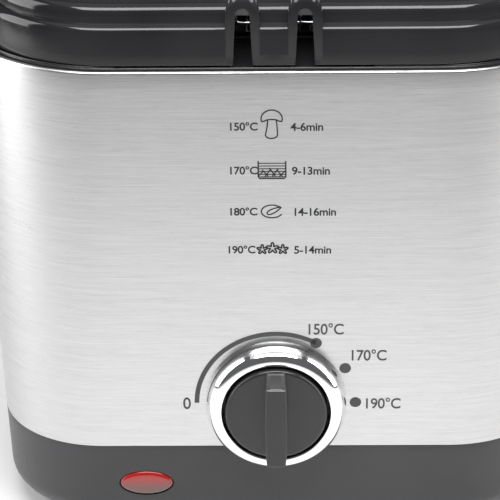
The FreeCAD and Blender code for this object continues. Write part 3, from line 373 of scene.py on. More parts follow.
def moulded(name, dark, light, low, high, grain=900, depth=0.00006, shine=0.5):
    """Moulded plastic: faint cloudy colour, fine grain in roughness and relief; shine is mirror strength."""
    material, nodes, links, shader = new_material(name)
    cloud = noise(nodes, links, 22, detail=3.0)
    fine = noise(nodes, links, grain, detail=2.0)
    links.new(tinted(nodes, links, remap(nodes, links, cloud, 0.35, 0.65, 0, 1), dark, light),
              shader.inputs["Base Color"])
    links.new(remap(nodes, links, fine, 0.3, 0.7, low, high), shader.inputs["Roughness"])
    shader.inputs["Specular IOR Level"].default_value = shine
    bump(nodes, links, shader, fine, 0.25, depth)
    return material


def metal(name, dark, light, low, high, stretch=(1, 1, 1), scale=160, depth=0.00003):
    """Bare metal: colour and roughness vary a little along its working marks."""
    material, nodes, links, shader = new_material(name)
    marks = noise(nodes, links, scale, stretch, 3.0)
    links.new(tinted(nodes, links, remap(nodes, links, marks, 0.3, 0.7, 0, 1), dark, light),
              shader.inputs["Base Color"])
    links.new(remap(nodes, links, marks, 0.3, 0.7, low, high), shader.inputs["Roughness"])
    shader.inputs["Metallic"].default_value = 1.0
    bump(nodes, links, shader, marks, 0.2, depth)
    return material


def lamp_red():
    """Red lens with painted light: a brighter red painted along the top and a browner, paler tone painted below,
    by height.
    """
    material, nodes, links, shader = new_material("lamp_lens_red")
    place = nodes.new("ShaderNodeTexCoord")
    split = nodes.new("ShaderNodeSeparateXYZ")
    links.new(place.outputs["Object"], split.inputs[0])
    # Painted light: the lens colour runs by height from a browner, paler bottom to a bright red top.
    height = remap(nodes, links, split.outputs["Z"], LAMP_Z - 2.2 * MM, LAMP_Z + 2.6 * MM, 0, 1)
    links.new(tinted(nodes, links, height, (0.13, 0.05, 0.04), (0.34, 0.010, 0.007)),
              shader.inputs["Base Color"])
    shader.inputs["Roughness"].default_value = 0.12
    shader.inputs["Coat Weight"].default_value = 0.6
    ribs = noise(nodes, links, 300, (1, 1, 1))
    bump(nodes, links, shader, ribs, 0.1, 0.00005)
    return material


def window_glass():
    """Clear, faintly green glass with a thin uneven film on it."""
    material, nodes, links, shader = new_material("window_glass")
    film = noise(nodes, links, 40, detail=3.0)
    shader.inputs["Base Color"].default_value = (0.86, 0.9, 0.9, 1)
    links.new(remap(nodes, links, film, 0.3, 0.7, 0.02, 0.07), shader.inputs["Roughness"])
    shader.inputs["Transmission Weight"].default_value = 1.0
    shader.inputs["IOR"].default_value = 1.5
    return material


FINISH = {
    "brushed_shell": brushed_steel(),
    "base_plastic": moulded("base_satin_grey", (0.034, 0.034, 0.036), (0.041, 0.041, 0.043), 0.34, 0.44,
                            shine=0.4),
    "collar_plastic": moulded("collar_black", (0.008, 0.008, 0.009), (0.014, 0.014, 0.015), 0.18, 0.28,
                              shine=0.35),
    "lid_plastic": moulded("lid_gloss_black", (0.008, 0.008, 0.009), (0.013, 0.013, 0.014), 0.08, 0.14,
                           1400, 0.00001, 0.32),
    "hinge_plastic": moulded("hinge_black", (0.02, 0.02, 0.021), (0.028, 0.028, 0.03), 0.32, 0.45),
    "rubber": moulded("foot_rubber", (0.012, 0.012, 0.012), (0.02, 0.02, 0.02), 0.6, 0.8, 500, 0.0001),
    "seal_rubber": moulded("seal_rubber", (0.03, 0.03, 0.03), (0.05, 0.05, 0.05), 0.55, 0.7),
    "zinc_screw": metal("plated_screw", (0.5, 0.5, 0.5), (0.68, 0.68, 0.68), 0.18, 0.3),
    "zinc_sheet": metal("plated_sheet", (0.45, 0.45, 0.46), (0.6, 0.6, 0.6), 0.3, 0.45, (1, 6, 1)),
    "non_stick": moulded("non_stick_coating", (0.012, 0.012, 0.014), (0.024, 0.024, 0.027), 0.28, 0.42,
                         1600, 0.00004),
    "cast_plate": metal("cast_aluminium", (0.5, 0.5, 0.51), (0.66, 0.66, 0.67), 0.45, 0.6,
                        scale=400, depth=0.0001),
    "element_tube": metal("element_sheath", (0.06, 0.055, 0.05), (0.12, 0.11, 0.1), 0.5, 0.65),
    "stat_case": moulded("phenolic_brown", (0.1, 0.05, 0.025), (0.16, 0.08, 0.04), 0.45, 0.6),
    "copper": metal("copper_tube", (0.6, 0.26, 0.13), (0.78, 0.4, 0.24), 0.25, 0.4),
    "wire_sleeve": moulded("wire_sleeve", (0.55, 0.55, 0.5), (0.68, 0.68, 0.62), 0.55, 0.7),
    "lamp_red": lamp_red(),
    "lamp_holder": moulded("lamp_holder", (0.55, 0.53, 0.48), (0.66, 0.64, 0.6), 0.4, 0.55),
    "bezel_chrome": metal("bezel_chrome", (0.86, 0.86, 0.87), (0.9, 0.9, 0.91), 0.03, 0.06,
                          scale=60, depth=0.000004),
    "dial_plastic": moulded("dial_grey", (0.017, 0.017, 0.018), (0.023, 0.023, 0.024), 0.18, 0.26,
                            1200, 0.000004, 0.42),
    "shaft_steel": metal("turned_steel", (0.5, 0.5, 0.5), (0.62, 0.62, 0.62), 0.25, 0.35),
    "window_glass": window_glass(),
    "liner_metal": metal("liner_aluminium", (0.6, 0.6, 0.61), (0.74, 0.74, 0.75), 0.28, 0.4, (1, 12, 1)),
    "strip_plastic": moulded("slot_strip_grey", (0.3, 0.3, 0.3), (0.38, 0.38, 0.38), 0.35, 0.5),
    "filter_felt": moulded("filter_felt", (0.5, 0.47, 0.4), (0.7, 0.67, 0.6), 0.85, 0.95, 700, 0.0004),
    "basket_wire": metal("bright_wire", (0.62, 0.62, 0.63), (0.76, 0.76, 0.77), 0.14, 0.24),
    "grip_plastic": moulded("grip_black", (0.014, 0.014, 0.015), (0.02, 0.02, 0.021), 0.3, 0.42,
                            1000, 0.00004),
}
INK = moulded("print_ink_grey", (0.045, 0.045, 0.047), (0.058, 0.058, 0.06), 0.55, 0.65, 2000, 0.000001)
CHART_INK = moulded("print_ink_black", (0.006, 0.006, 0.006), (0.012, 0.012, 0.012), 0.6, 0.7,
                    2000, 0.000001)

for entry in frame["record"]["subparts"]:
    node = frame["nodes"][entry["node"]]
    node.data.materials.clear()
    node.data.materials.append(FINISH[entry["material_slot"]])


# ---------------------------------------------------------------- shell and base

def body_levels(heights, drawn_in):
    """Levels of the tapering body, each drawn in from the outside by an amount."""
    heights = np.asarray(heights, float)
    drawn_in = np.broadcast_to(drawn_in, heights.shape)
    hx, hy = half_at(heights)
    return np.stack([heights, hx - drawn_in, hy - drawn_in, corner_at(heights) - drawn_in], 1)


def make_shell():
    """Tapering sheet with a rolled top edge: the profile climbs outside, turns over and drops inside."""
    sheet_t, roll = 0.8 * MM, 2.0 * MM
    turn = np.radians(np.linspace(0, 180, 13))
    outside = [(z, 0.0) for z in np.linspace(SEAM, SHELL_TOP - 1.0 * MM, 24)]
    curl = [(SHELL_TOP - roll / 2 + roll / 2 * math.sin(a), roll / 2 - roll / 2 * math.cos(a)) for a in turn]
    inside = [(z, sheet_t) for z in (SHELL_TOP - 2.2 * MM, SEAM)]
    profile = np.array(outside + curl + inside)
    levels = body_levels(profile[:, 0], profile[:, 1])
    points = rings(levels, steps=(24, 24))
    shell = raise_object("shell_sheet", grid_mesh("shell_sheet", points, closed_v=True, sharp=50))
    notch = turned("notch", [(NOTCH_R, -10 * MM), (NOTCH_R, 10 * MM)], 96)
    carve(shell, moved(notch, face_frame(0, KNOB_Z)), sharp=50)
    holes = [moved(turned("hole", [(2.1 * MM, -10 * MM), (2.1 * MM, 10 * MM)], 24),
                   Matrix.Translation((x, HINGE_SCREW_Y, HINGE_SCREW_Z)) @ Matrix.Rotation(math.pi / 2, 4, "X"))
             for x in (-HINGE_SCREW_X, HINGE_SCREW_X)]
    carve(shell, joined("holes", holes), sharp=50)
    settle(shell, "body", "brushed_shell", ["steel_shell"])


def make_base():
    """Base pan: tapering wall, a quarter-round foot edge, a floor and the tab that fills the shell's notch."""
    wall, edge = 2.6 * MM, 9.5 * MM
    low = BASE_LOW.z
    turn = np.radians(np.linspace(0, 90, 13))
    bottom = [(low + edge - edge * math.sin(a), edge - edge * math.cos(a)) for a in turn[::-1]]
    side = [(z, 0.0) for z in np.linspace(low + edge + 1 * MM, SEAM - 0.35 * MM, 8)]
    lip = [(SEAM - 0.1 * MM, 0.1 * MM), (SEAM, 0.35 * MM), (SEAM, 1.0 * MM), (SEAM + 4 * MM, 1.0 * MM)]
    inner = [(SEAM + 4 * MM, wall), (low + 12 * MM, wall), (low + 7 * MM, 3.4 * MM), (low + 3 * MM, 7.5 * MM)]
    profile = np.array(bottom + side + lip + inner)
    points = rings(body_levels(profile[:, 0], profile[:, 1]), steps=(20, 16))
    base = raise_object("base_pan", grid_mesh("base_pan", points, cap_low=True, cap_high=True))
    tab = turned("tab", [(NOTCH_R - 0.5 * MM, -4.3 * MM), (NOTCH_R - 0.5 * MM, -0.3 * MM)], 96)
    carve(base, moved(tab, face_frame(0, KNOB_Z)), "UNION")
    lamp_hole = moved(oval_stack("lamp_hole", [(-6, 9.85, 5.2), (3, 9.85, 5.2)]), face_frame(LAMP_X, LAMP_Z))
    shaft_hole = moved(turned("shaft_hole", [(5.1 * MM, -10 * MM), (5.1 * MM, 3 * MM)], 48),
                       face_frame(0, KNOB_Z))
    gland = moved(turned("gland_hole", [(6 * MM, -12 * MM), (6 * MM, 12 * MM)], 40),
                  Matrix.Translation((0, HALF_SEAM[1], GLAND_Z)) @ Matrix.Rotation(math.pi / 2, 4, "X"))
    holes = [lamp_hole, shaft_hole, gland]
    for x in np.linspace(-30, 30, 7) * MM:
        slot = rings([(low - 1 * MM, 2 * MM, 18 * MM, 1.9 * MM), (low + 5 * MM, 2 * MM, 18 * MM, 1.9 * MM)],
                     (x, 0), (6, 2))
        holes.append(grid_mesh("vent", slot, cap_low=True, cap_high=True))
    for x in (-50 * MM, 50 * MM):
        for y in (-40 * MM, 40 * MM):
            sink = turned("sink", [(4.2 * MM, low - 1 * MM), (4.2 * MM, low + 2.3 * MM)], 32)
            holes.append(moved(sink, Matrix.Translation((x, y, 0))))
    carve(base, joined("base_holes", holes))
    settle(base, "body", "base_plastic", ["base_housing"])


def make_feet():
    """Four turned rubber feet with an eased tread edge."""
    for node in ("foot_front_left", "foot_front_right", "foot_rear_left", "foot_rear_right"):
        low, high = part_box(node)
        r = (high.x - low.x) / 2
        profile = [(0, 0), (r - 3 * MM, 0), (r - 2.6 * MM, 0.3 * MM), (r - 2.2 * MM, 0), (r - 1 * MM, 0),
                   (r - 0.3 * MM, 0.3 * MM), (r, 1 * MM), (r, 4.4 * MM), (r - 0.5 * MM, 4.95 * MM),
                   (0, 4.95 * MM)]
        foot = moved(turned(node + "_rubber", profile, 48),
                     Matrix.Translation(((low.x + high.x) / 2, (low.y + high.y) / 2, 0)))
        settle(raise_object(node + "_rubber", foot), "body", "rubber", [node])


def make_collar():
    """Black ring between shell and lid: ledge, slope up to the pot's seat and a hollow underside."""
    top = SHELL_TOP
    hx, hy = HALF_TOP
    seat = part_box("top_collar")[1].z
    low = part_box("top_collar")[0].z
    inner = np.array([POT_HIGH.x - 4.3 * MM + 0.5 * MM, POT_HIGH.y - 4.3 * MM + 0.5 * MM])

    def outside(z, drawn):
        """A level drawn in from the shell's outside at its top."""
        return (z, hx - drawn, hy - drawn, CORNER_TOP - drawn)

    def throat(z, out):
        """A level that stands out from the hole the pot hangs in."""
        return (z, inner[0] + out, inner[1] + out, 34.2 * MM + out)

    ledge = top + 0.6 * MM
    levels = [outside(low, 1.6 * MM), outside(top - 1.2 * MM, 1.2 * MM), outside(top - 1.2 * MM, 2.2 * MM),
              outside(top + 0.35 * MM, 2.2 * MM), outside(ledge, 2.45 * MM), outside(ledge, 4.5 * MM)]
    slope = np.linspace(0, 1, 8)[1:]
    levels += [outside(ledge + (seat - ledge) * s, 4.5 * MM + 10.5 * MM * s ** 0.85) for s in slope]
    levels += [throat(seat, 0.4 * MM), throat(seat - 0.4 * MM, 0), throat(low, 0), throat(low, 2.3 * MM),
               throat(low + 5 * MM, 2.3 * MM), outside(low + 5 * MM, 4.0 * MM), outside(low, 4.0 * MM)]
    collar = raise_object("collar_ring", grid_mesh("collar_ring", rings(levels, steps=(20, 16)), closed_v=True))
    settle(collar, "body", "collar_plastic", ["top_collar"])
    path = rings([outside(top + 0.72 * MM, 2.8 * MM)], steps=(24, 90))[0]
    front = (path[:, 1] < -hy + 6 * MM) & (path[:, 0] > -52 * MM) & (path[:, 0] < 32 * MM)
    order = np.roll(np.arange(len(path)), -np.flatnonzero(front)[-1] - 1)
    open_path = path[order][: len(path) - front.sum()]
    bead = raise_object("collar_bead", tubes("collar_bead", open_path[None], 0.42 * MM, 8))
    settle(bead, "body", "collar_plastic")


# ---------------------------------------------------------------- lid

def lid_profile(wall=0.0):
    """Lid section as (inset, height): skirt, round shoulder, riser, second shoulder and a flattening crown."""
    turn = np.radians(np.linspace(0, 90, 9))
    first, second = 2.9 * MM, 3.9 * MM
    lower = [(first - first * math.cos(a), SHOULDER - first + first * math.sin(a)) for a in turn]
    upper = [(3.0 * MM + second - second * math.cos(a), DOME_EDGE - second + second * math.sin(a))
             for a in turn]
    run = np.linspace(0, 1, 14)[1:]
    crown = [(6.9 * MM + 35 * MM * s, DOME_EDGE + (CROWN - DOME_EDGE) * (1 - (1 - s) ** 2.2)) for s in run]
    crease = [(3.0 * MM, SHOULDER + 0.1 * MM)]
    points = np.array(lower + crease + upper + crown)
    return points + [wall, -wall]


def make_lid():
    """Lid shell: outer and inner sections joined at the skirt edge, with hoods added and slots cut out."""
    wall = 2.4 * MM
    outside = lid_profile()
    inside = lid_profile(wall)[::-1]
    edge = [(wall, LID_EDGE + 0.3 * MM), (wall - 0.4 * MM, LID_EDGE), (0.5 * MM, LID_EDGE),
            (0.15 * MM, LID_EDGE + 0.15 * MM), (0.0, LID_EDGE + 0.5 * MM), (0.0, LID_EDGE + 4 * MM)]
    section = np.array(list(map(tuple, inside)) + edge + list(map(tuple, outside)))
    inset, z = section.T
    levels = np.stack([z, LID_HALF[0] - inset, LID_HALF[1] - inset, np.maximum(LID_CORNER - inset, 3 * MM)], 1)
    lid = raise_object("lid_dome", grid_mesh("lid_dome", rings(levels, steps=(24, 20)),
                                             cap_low=True, cap_high=True))
    y_front = -LID_HALF[1]
    for sign in (-1, 1):
        tunnel = arch_prism("tunnel", sign * SLOT_X, HOOD_TOP - 0.02 * MM, HOOD_R - 0.02 * MM, 192 * MM,
                            HOOD_R - 0.02 * MM, y_front + 6 * MM, y_front + 42 * MM)
        carve(lid, tunnel, "UNION", 30)
        hood = arch_prism("hood", sign * SLOT_X, HOOD_TOP, HOOD_R, LID_EDGE + 3 * MM, HOOD_R,
                          y_front - 0.25 * MM, y_front + 9 * MM, ease=0.9 * MM)
        carve(lid, hood, "UNION", 30)
    for sign in (-1, 1):
        slot = arch_prism("slot", sign * SLOT_X, 203 * MM, 2.35 * MM, LID_EDGE - 0.6 * MM, 3.2 * MM,
                          y_front - 3 * MM, y_front + 36 * MM, flare=1.5 * MM)
        carve(lid, slot, "DIFFERENCE", 30)
    openings = []
    for half, corner, y in ((WINDOW, 12 * MM, WINDOW_Y), ((26 * MM, 8 * MM), 3 * MM, VENT_Y)):
        plan = rings([(z, half[0], half[1], corner) for z in (CROWN - 7 * MM, CROWN + 3 * MM)], (0, y), (10, 6))
        openings.append(grid_mesh("opening", plan, cap_low=True, cap_high=True))
    carve(lid, joined("openings", openings), "DIFFERENCE", 30)
    y_pin, z_pin = JOINTS["lid_hinge"]["pos_m"][1:]
    for x in (-30.7 * MM, 20 * MM):
        turn = np.radians(np.linspace(90, -180, 28))
        knuckle = [(y_pin + KNUCKLE_R * math.cos(a), z_pin + KNUCKLE_R * math.sin(a)) for a in turn]
        web = [(y_pin - KNUCKLE_R, LID_EDGE + 1 * MM), (LID_HALF[1] - 1.2 * MM, LID_EDGE + 1 * MM),
               (LID_HALF[1] - 1.2 * MM, z_pin + KNUCKLE_R)]
        side = np.array(knuckle + web)
        rows = [np.column_stack([np.full(len(side), u), side]) for u in (x, x + KNUCKLE_WIDE)]
        carve(lid, grid_mesh("knuckle", np.array(rows)[::-1], cap_low=True, cap_high=True), "UNION", 30)
    eye = moved(turned("eye", [(2.06 * MM, -40 * MM), (2.06 * MM, 40 * MM)], 32),
                Matrix.Translation((0, y_pin, z_pin)) @ Matrix.Rotation(math.pi / 2, 4, "Y"))
    carve(lid, eye, "DIFFERENCE", 30)
    settle(lid, "lid", "lid_plastic", ["lid_shell"])


def make_window():
    """Glass pane with eased edges, standing where the CAD pane is."""
    low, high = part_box("lid_window")
    half = np.array([(high.x - low.x) / 2, (high.y - low.y) / 2])
    ease = 0.5 * MM
    levels = [(low.z, half[0] - ease, half[1] - ease, 16.5 * MM), (low.z + ease, half[0], half[1], 17 * MM),
              (high.z - ease, half[0], half[1], 17 * MM), (high.z, half[0] - ease, half[1] - ease, 16.5 * MM)]
    pane = grid_mesh("window_pane", rings(levels, (0, WINDOW_Y), (14, 6)),
                     cap_low=True, cap_high=True, sharp=30)
    settle(raise_object("window_pane", pane), "lid", "window_glass", ["lid_window"])


# ---------------------------------------------------------------- dial and lamp

def make_bezel():
    """Chrome ring: a thin flange, then a swelling rim like a quarter ellipse, and a lip into the dial well."""
    turn = np.radians(np.linspace(4, 90, 20))
    swell = [(20.1 + 4.75 * math.cos(a) ** 0.9, 1.3 + 6.7 * math.sin(a)) for a in turn]
    profile = [(19.7, 0.05), (25.0, 0.05), (25.0, 0.6), (24.9, 0.9)] + swell
    profile += [(19.7, 7.95), (19.3, 7.75), (19.1, 7.3), (19.1, 2.0), (19.7, 0.05)]
    ring = turned("bezel_ring", np.array(profile) * MM, 128, 32)
    bezel = raise_object("bezel_ring", moved(ring, face_frame(0, KNOB_Z)))
    settle(bezel, "body", "bezel_chrome", ["knob_bezel"])


def make_dial():
    """Turning disc with a raised grip bar: a rounded section whose width and height change along the bar.

    The numbers are millimetres on the sloping face, with heights measured out from it.
    """
    face, bar_foot, bar_front = 9.0, 8.4, 16.0
    section = [(0, face), (16.6, face), (17.3, 8.9), (17.7, 8.6), (17.9, 8.1), (17.9, 2.6), (16.2, 2.6),
               (16.2, 6.8), (3.05, 6.8), (3.05, 13.3), (0, 13.3)]
    plate = turned("dial_disc", np.array(section[::-1]) * MM, 128, 32)
    along = np.concatenate([[-17.6, -17.45, -17.1], np.linspace(-16.5, 13.4, 48), np.linspace(13.8, 17.3, 12)])
    half = 2.75 + 1.25 * np.sqrt(np.clip(1 - (along / 19.0) ** 2, 0, 1))
    half[:3] -= [0.55, 0.25, 0.05]
    nose, fall = 14.0, 2.05
    front = np.where(along > nose, bar_front - (along - nose) * fall, bar_front)
    front[:3] -= [0.7, 0.35, 0.1]
    ease = 0.85
    turn = np.radians(np.linspace(0, 90, 7))
    side = np.stack([-ease + ease * np.cos(turn), -ease + ease * np.sin(turn)], 1)
    rows = []
    for y, w, h in zip(along, half, np.maximum(front, face + 0.2)):
        right = np.concatenate([[[w, bar_foot]], np.stack([w + side[:, 0], h + side[:, 1]], 1)])
        flat = np.linspace(1, -1, 7)[1:-1, None] * [w - ease, 0] + [0, h]
        left = right[::-1] * [-1, 1]
        section = np.concatenate([right, flat, left])
        rows.append(np.column_stack([section[:, 0], np.full(len(section), y), section[:, 1]]))
    bar = grid_mesh("dial_bar", np.array(rows)[::-1] * MM, cap_low=True, cap_high=True, sharp=32)
    dial = raise_object("dial_disc", moved(joined("dial_disc", [plate, bar], 32), face_frame(0, KNOB_Z)))
    settle(dial, "knob", "dial_plastic", ["knob_dial"])
    pip = []
    for inset, height in ((0.0, 0.0), (0.1, 0.14), (0.35, 0.18), (0.6, 0.08)):
        ring = rings([(0, 2.55 - inset, 1.5 - inset, 0.75)], steps=(6, 3))[0]
        down = nose + 1.75 + ring[:, 1] * 0.98
        pip.append(np.column_stack([ring[:, 0], down, bar_front - (down - nose) * fall + height + 0.02]))
    mark = grid_mesh("dial_pip", np.array(pip) * MM, cap_high=True, sharp=60)
    settle(raise_object("dial_pip", moved(mark, face_frame(0, KNOB_Z))), "knob", "dial_plastic")


def make_lamp():
    """Oval lens swelling out of the base: its outline shrinks as a quarter ellipse rises."""
    turn = np.radians(np.linspace(0, 86, 12))
    half_x, half_z = 9.5, 4.85
    levels = [(-3.4, half_x, half_z)]
    levels += [(-0.5 + 1.2 * math.sin(a), half_x - 2.6 * (1 - math.cos(a)), half_z - 2.6 * (1 - math.cos(a)))
               for a in turn]
    lens = moved(oval_stack("lamp_oval", levels), face_frame(LAMP_X, LAMP_Z))
    settle(raise_object("lamp_oval", lens), "body", "lamp_red", ["lamp_lens"])


# ---------------------------------------------------------------- print on the shell

PRINT_LIFT = 0.06 * MM


def to_front(flat):
    """Lay drawing points (x, height) on the sloping front face, a hair in front of it."""
    flat = np.asarray(flat, float)
    return np.stack([flat[:, 0], -half_at(flat[:, 1])[1] - PRINT_LIFT, flat[:, 1]], 1)


def ribbon(name, line, width, closed=False):
    """A flat stroke: each point of the line moves half the width to either side, square to the line."""
    line = np.asarray(line, float)
    if closed:
        run = np.roll(line, -1, 0) - np.roll(line, 1, 0)
    else:
        run = np.gradient(line, axis=0)
    side = np.stack([-run[:, 1], run[:, 0]], 1) / np.linalg.norm(run, axis=1, keepdims=True) * width / 2
    rows = np.array([to_front(line - side), to_front(line + side)])
    return grid_mesh(name, rows, closed_u=closed)


def disc(name, centre, radius, steps=40):
    """A printed round dot."""
    turn = np.linspace(0, 2 * math.pi, steps, endpoint=False)
    circle = centre + radius * np.stack([np.cos(turn), np.sin(turn)], 1)
    mesh = bpy.data.meshes.new(name)
    mesh.from_pydata(to_front(circle).tolist(), [], [list(range(steps))])
    return mesh


def lettering(text, x, level, size, align="LEFT", tall=1.0, bold=0.012):
    """Sans lettering as a flat mesh, stretched in height by tall: x goes across and y up the front face."""
    curve = bpy.data.curves.new("lettering", "FONT")
    curve.body = text
    curve.size = size
    curve.offset = bold * size
    curve.align_x = align
    curve.align_y = "CENTER"
    curve.space_character = 0.96
    carrier = raise_object("lettering", curve)
    bpy.context.view_layer.update()
    mesh = bpy.data.meshes.new_from_object(carrier.evaluated_get(bpy.context.evaluated_depsgraph_get()))
    bpy.data.objects.remove(carrier)
    flat = read(mesh.vertices, "co", 3, float).reshape(-1, 3)[:, :2]
    placed = to_front(flat * [1, tall] + [x, level])
    mesh.vertices.foreach_set("co", placed.ravel())
    mesh.update()
    return mesh


def make_dial_print():
    """Arc from the 0 mark over the top to the first dot, three dots and their temperatures."""
    centre = np.array([0, KNOB_Z - 0.3 * MM])
    radius = 28.05 * MM
    sweep = np.radians(np.linspace(180, 60, 80))
    parts = [ribbon("dial_arc", centre + radius * np.stack([np.cos(sweep), np.sin(sweep)], 1), 1.7 * MM)]
    for angle in (60, 30, 0):
        spot = centre + radius * np.array([math.cos(math.radians(angle)), math.sin(math.radians(angle))])
        parts.append(disc("dial_dot", spot, 2.05 * MM))
    labels = (("0", -31.6, 54.6, 5.9), ("150°C", 17.1, 84.7, 5.3), ("170°C", 32.2, 74.1, 5.3),
              ("190°C", 37.5, 54.3, 5.3))
    for text, x, level, size in labels:
        parts.append(lettering(text, x * MM, level * MM, size * MM, "CENTER", 1.13))
    settle(raise_object("dial_print", joined("dial_print", parts)), "body", "dial_plastic", material=INK)


def mushroom(cx, cz):
    """Cap as a bowed arch with turned-in ends and a stem that swells to a round foot."""
    a = np.radians(np.linspace(-18, 198, 40))
    cap = np.stack([3.5 * np.cos(a), 2.0 + 3.2 * np.sin(a)], 1)
    b = np.radians(np.linspace(160, 20, 16))
    under = np.stack([3.3 * np.cos(b) * 0.75, 0.9 + 0.9 * np.sin(b)], 1)
    c = np.linspace(0, 1, 30)
    left = np.stack([-1.35 - 0.75 * c ** 1.6, 1.4 - 5.2 * c], 1)
    d = np.radians(np.linspace(180, 360, 14))
    foot = np.stack([-0.1 + 2.0 * np.cos(d), -3.8 + 1.3 * np.sin(d)], 1)
    right = np.stack([1.9 - 0.35 * c ** 1.6, -3.8 + 5.2 * c], 1)
    stem = np.concatenate([left, foot[1:-1], right])
    return [ribbon("stroke", np.array(line) * MM + [cx, cz], 0.46 * MM)
            for line in (cap, np.concatenate([[cap[-1]], under, [cap[0]]]), stem)]


def basket_icon(cx, cz):
    """Open box with level rulings and a heap of crossing sticks."""
    strokes = []
    frame_line = np.array([[-4.6, 3.4], [-4.6, -2.4], [-4.2, -3.0], [4.2, -3.0], [4.6, -2.4], [4.6, 3.4]])
    strokes.append((frame_line, 0.5))
    for level in (2.6, 1.6, 0.6, -0.4, -1.5, -2.4):
        strokes.append((np.array([[-4.4, level], [4.4, level]]), 0.34))
    for k in range(7):
        x = -3.6 + 1.2 * k
        lean = (-1) ** k
        strokes.append((np.array([[x - 1.1 * lean, -2.2], [x + 0.9 * lean, 0.9 - 0.35 * abs(k - 3)]]), 0.42))
    return [ribbon("stroke", line * MM + [cx, cz], w * MM) for line, w in strokes]


def drumstick(cx, cz):
    """Round body outline with a leg drawn across it as a narrow loop."""
    a = np.radians(np.linspace(35, 335, 50))
    body = np.stack([3.6 * np.cos(a) - 0.1, 2.4 * np.sin(a)], 1)
    b = np.linspace(0, 2 * math.pi, 40, endpoint=False)
    leg = np.stack([2.6 * np.cos(b) + 0.7, 0.75 * np.sin(b) * (1 - 0.45 * np.cos(b))], 1)
    tilt = np.radians(28)
    turn = np.array([[math.cos(tilt), math.sin(tilt)], [-math.sin(tilt), math.cos(tilt)]])
    return [ribbon("stroke", body * MM + [cx, cz], 0.46 * MM),
            ribbon("stroke", (leg @ turn) * MM + [cx, cz], 0.46 * MM, True)]


def stars(cx, cz):
    """Three five-armed crackers: a radius that swells five times round a circle."""
    out = []
    for k, size in ((-1, 1.0), (0, 1.15), (1, 1.0)):
        a = np.linspace(0, 2 * math.pi, 60, endpoint=False)
        radius = size * (1.25 + 0.62 * np.cos(5 * (a - math.pi / 2)))
        line = np.stack([radius * np.cos(a) + 3.5 * k, radius * np.sin(a) + 0.5 * (k == 0)], 1)
        out.append(ribbon("stroke", line * MM + [cx, cz], 0.55 * MM, True))
    return out


def make_chart_print():
    """Four rows: a temperature, a pictogram and a time."""
    rows = ((162.2, "150°C", "4-6min", mushroom, -15.4, 5.3),
            (146.1, "170°C", "9-13min", basket_icon, -15.6, 5.7),
            (130.7, "180°C", "14-16min", drumstick, -15.8, 5.9),
            (116.2, "190°C", "5-14min", stars, -16.6, 6.3))
    parts = []
    for level, heat, time, icon, x_heat, x_time in rows:
        parts.append(lettering(heat, x_heat * MM, level * MM, 3.95 * MM, bold=0.02))
        parts.append(lettering(time, x_time * MM, (level - 0.2) * MM, 4.05 * MM, bold=0.02))
        parts += icon(-0.9 * MM, (level + (0.9 if icon is mushroom else 0.2)) * MM)
    chart = raise_object("chart_print", joined("chart_print", parts))
    settle(chart, "body", "dial_plastic", material=CHART_INK)


# ---------------------------------------------------------------- pot, basket and handle

def make_pot():
    """Drawn pot: tapering wall, round bottom edge and a rolled flange, inside and outside."""
    wall = 1.5 * MM
    low, top = POT_LOW.z, POT_HIGH.z
    half_top = np.array([84.0, 74.0]) * MM
    fall = 6 * MM / (top - low)

    def ring(z, out):
        """A level of the pot's inside, pushed out by an amount."""
        grow = out - fall * (top - z)
        return (z, half_top[0] + grow, half_top[1] + grow, 32 * MM + grow)

    turn = np.radians(np.linspace(0, 90, 10))
    inner = [ring(low + wall + 8 * MM - 8 * MM * math.cos(a), -8 * MM + 8 * MM * math.sin(a)) for a in turn]
    inner += [ring(z, 0) for z in np.linspace(low + 14 * MM, top - 1.2 * MM, 8)]
    rim = [ring(top - 0.35 * MM, 0.35 * MM), ring(top, 1.2 * MM), ring(top, 5.2 * MM),
           ring(top - 0.3 * MM, 5.8 * MM), ring(top - 0.9 * MM, 5.9 * MM), ring(top - 1.2 * MM, 5.4 * MM),
           ring(top - 1.2 * MM, wall)]
    outer = [ring(z, wall) for z in np.linspace(top - 2 * MM, low + 12 * MM, 6)]
    outer += [ring(low + 9 * MM - 9 * MM * math.sin(a), wall - 9 * MM + 9 * MM * math.cos(a)) for a in turn]
    points = rings(inner + rim + outer, steps=(18, 12))
    pot = grid_mesh("frying_pot", points[::-1], cap_low=True, cap_high=True)
    settle(raise_object("frying_pot", pot), "body", "non_stick", ["inner_pot"])


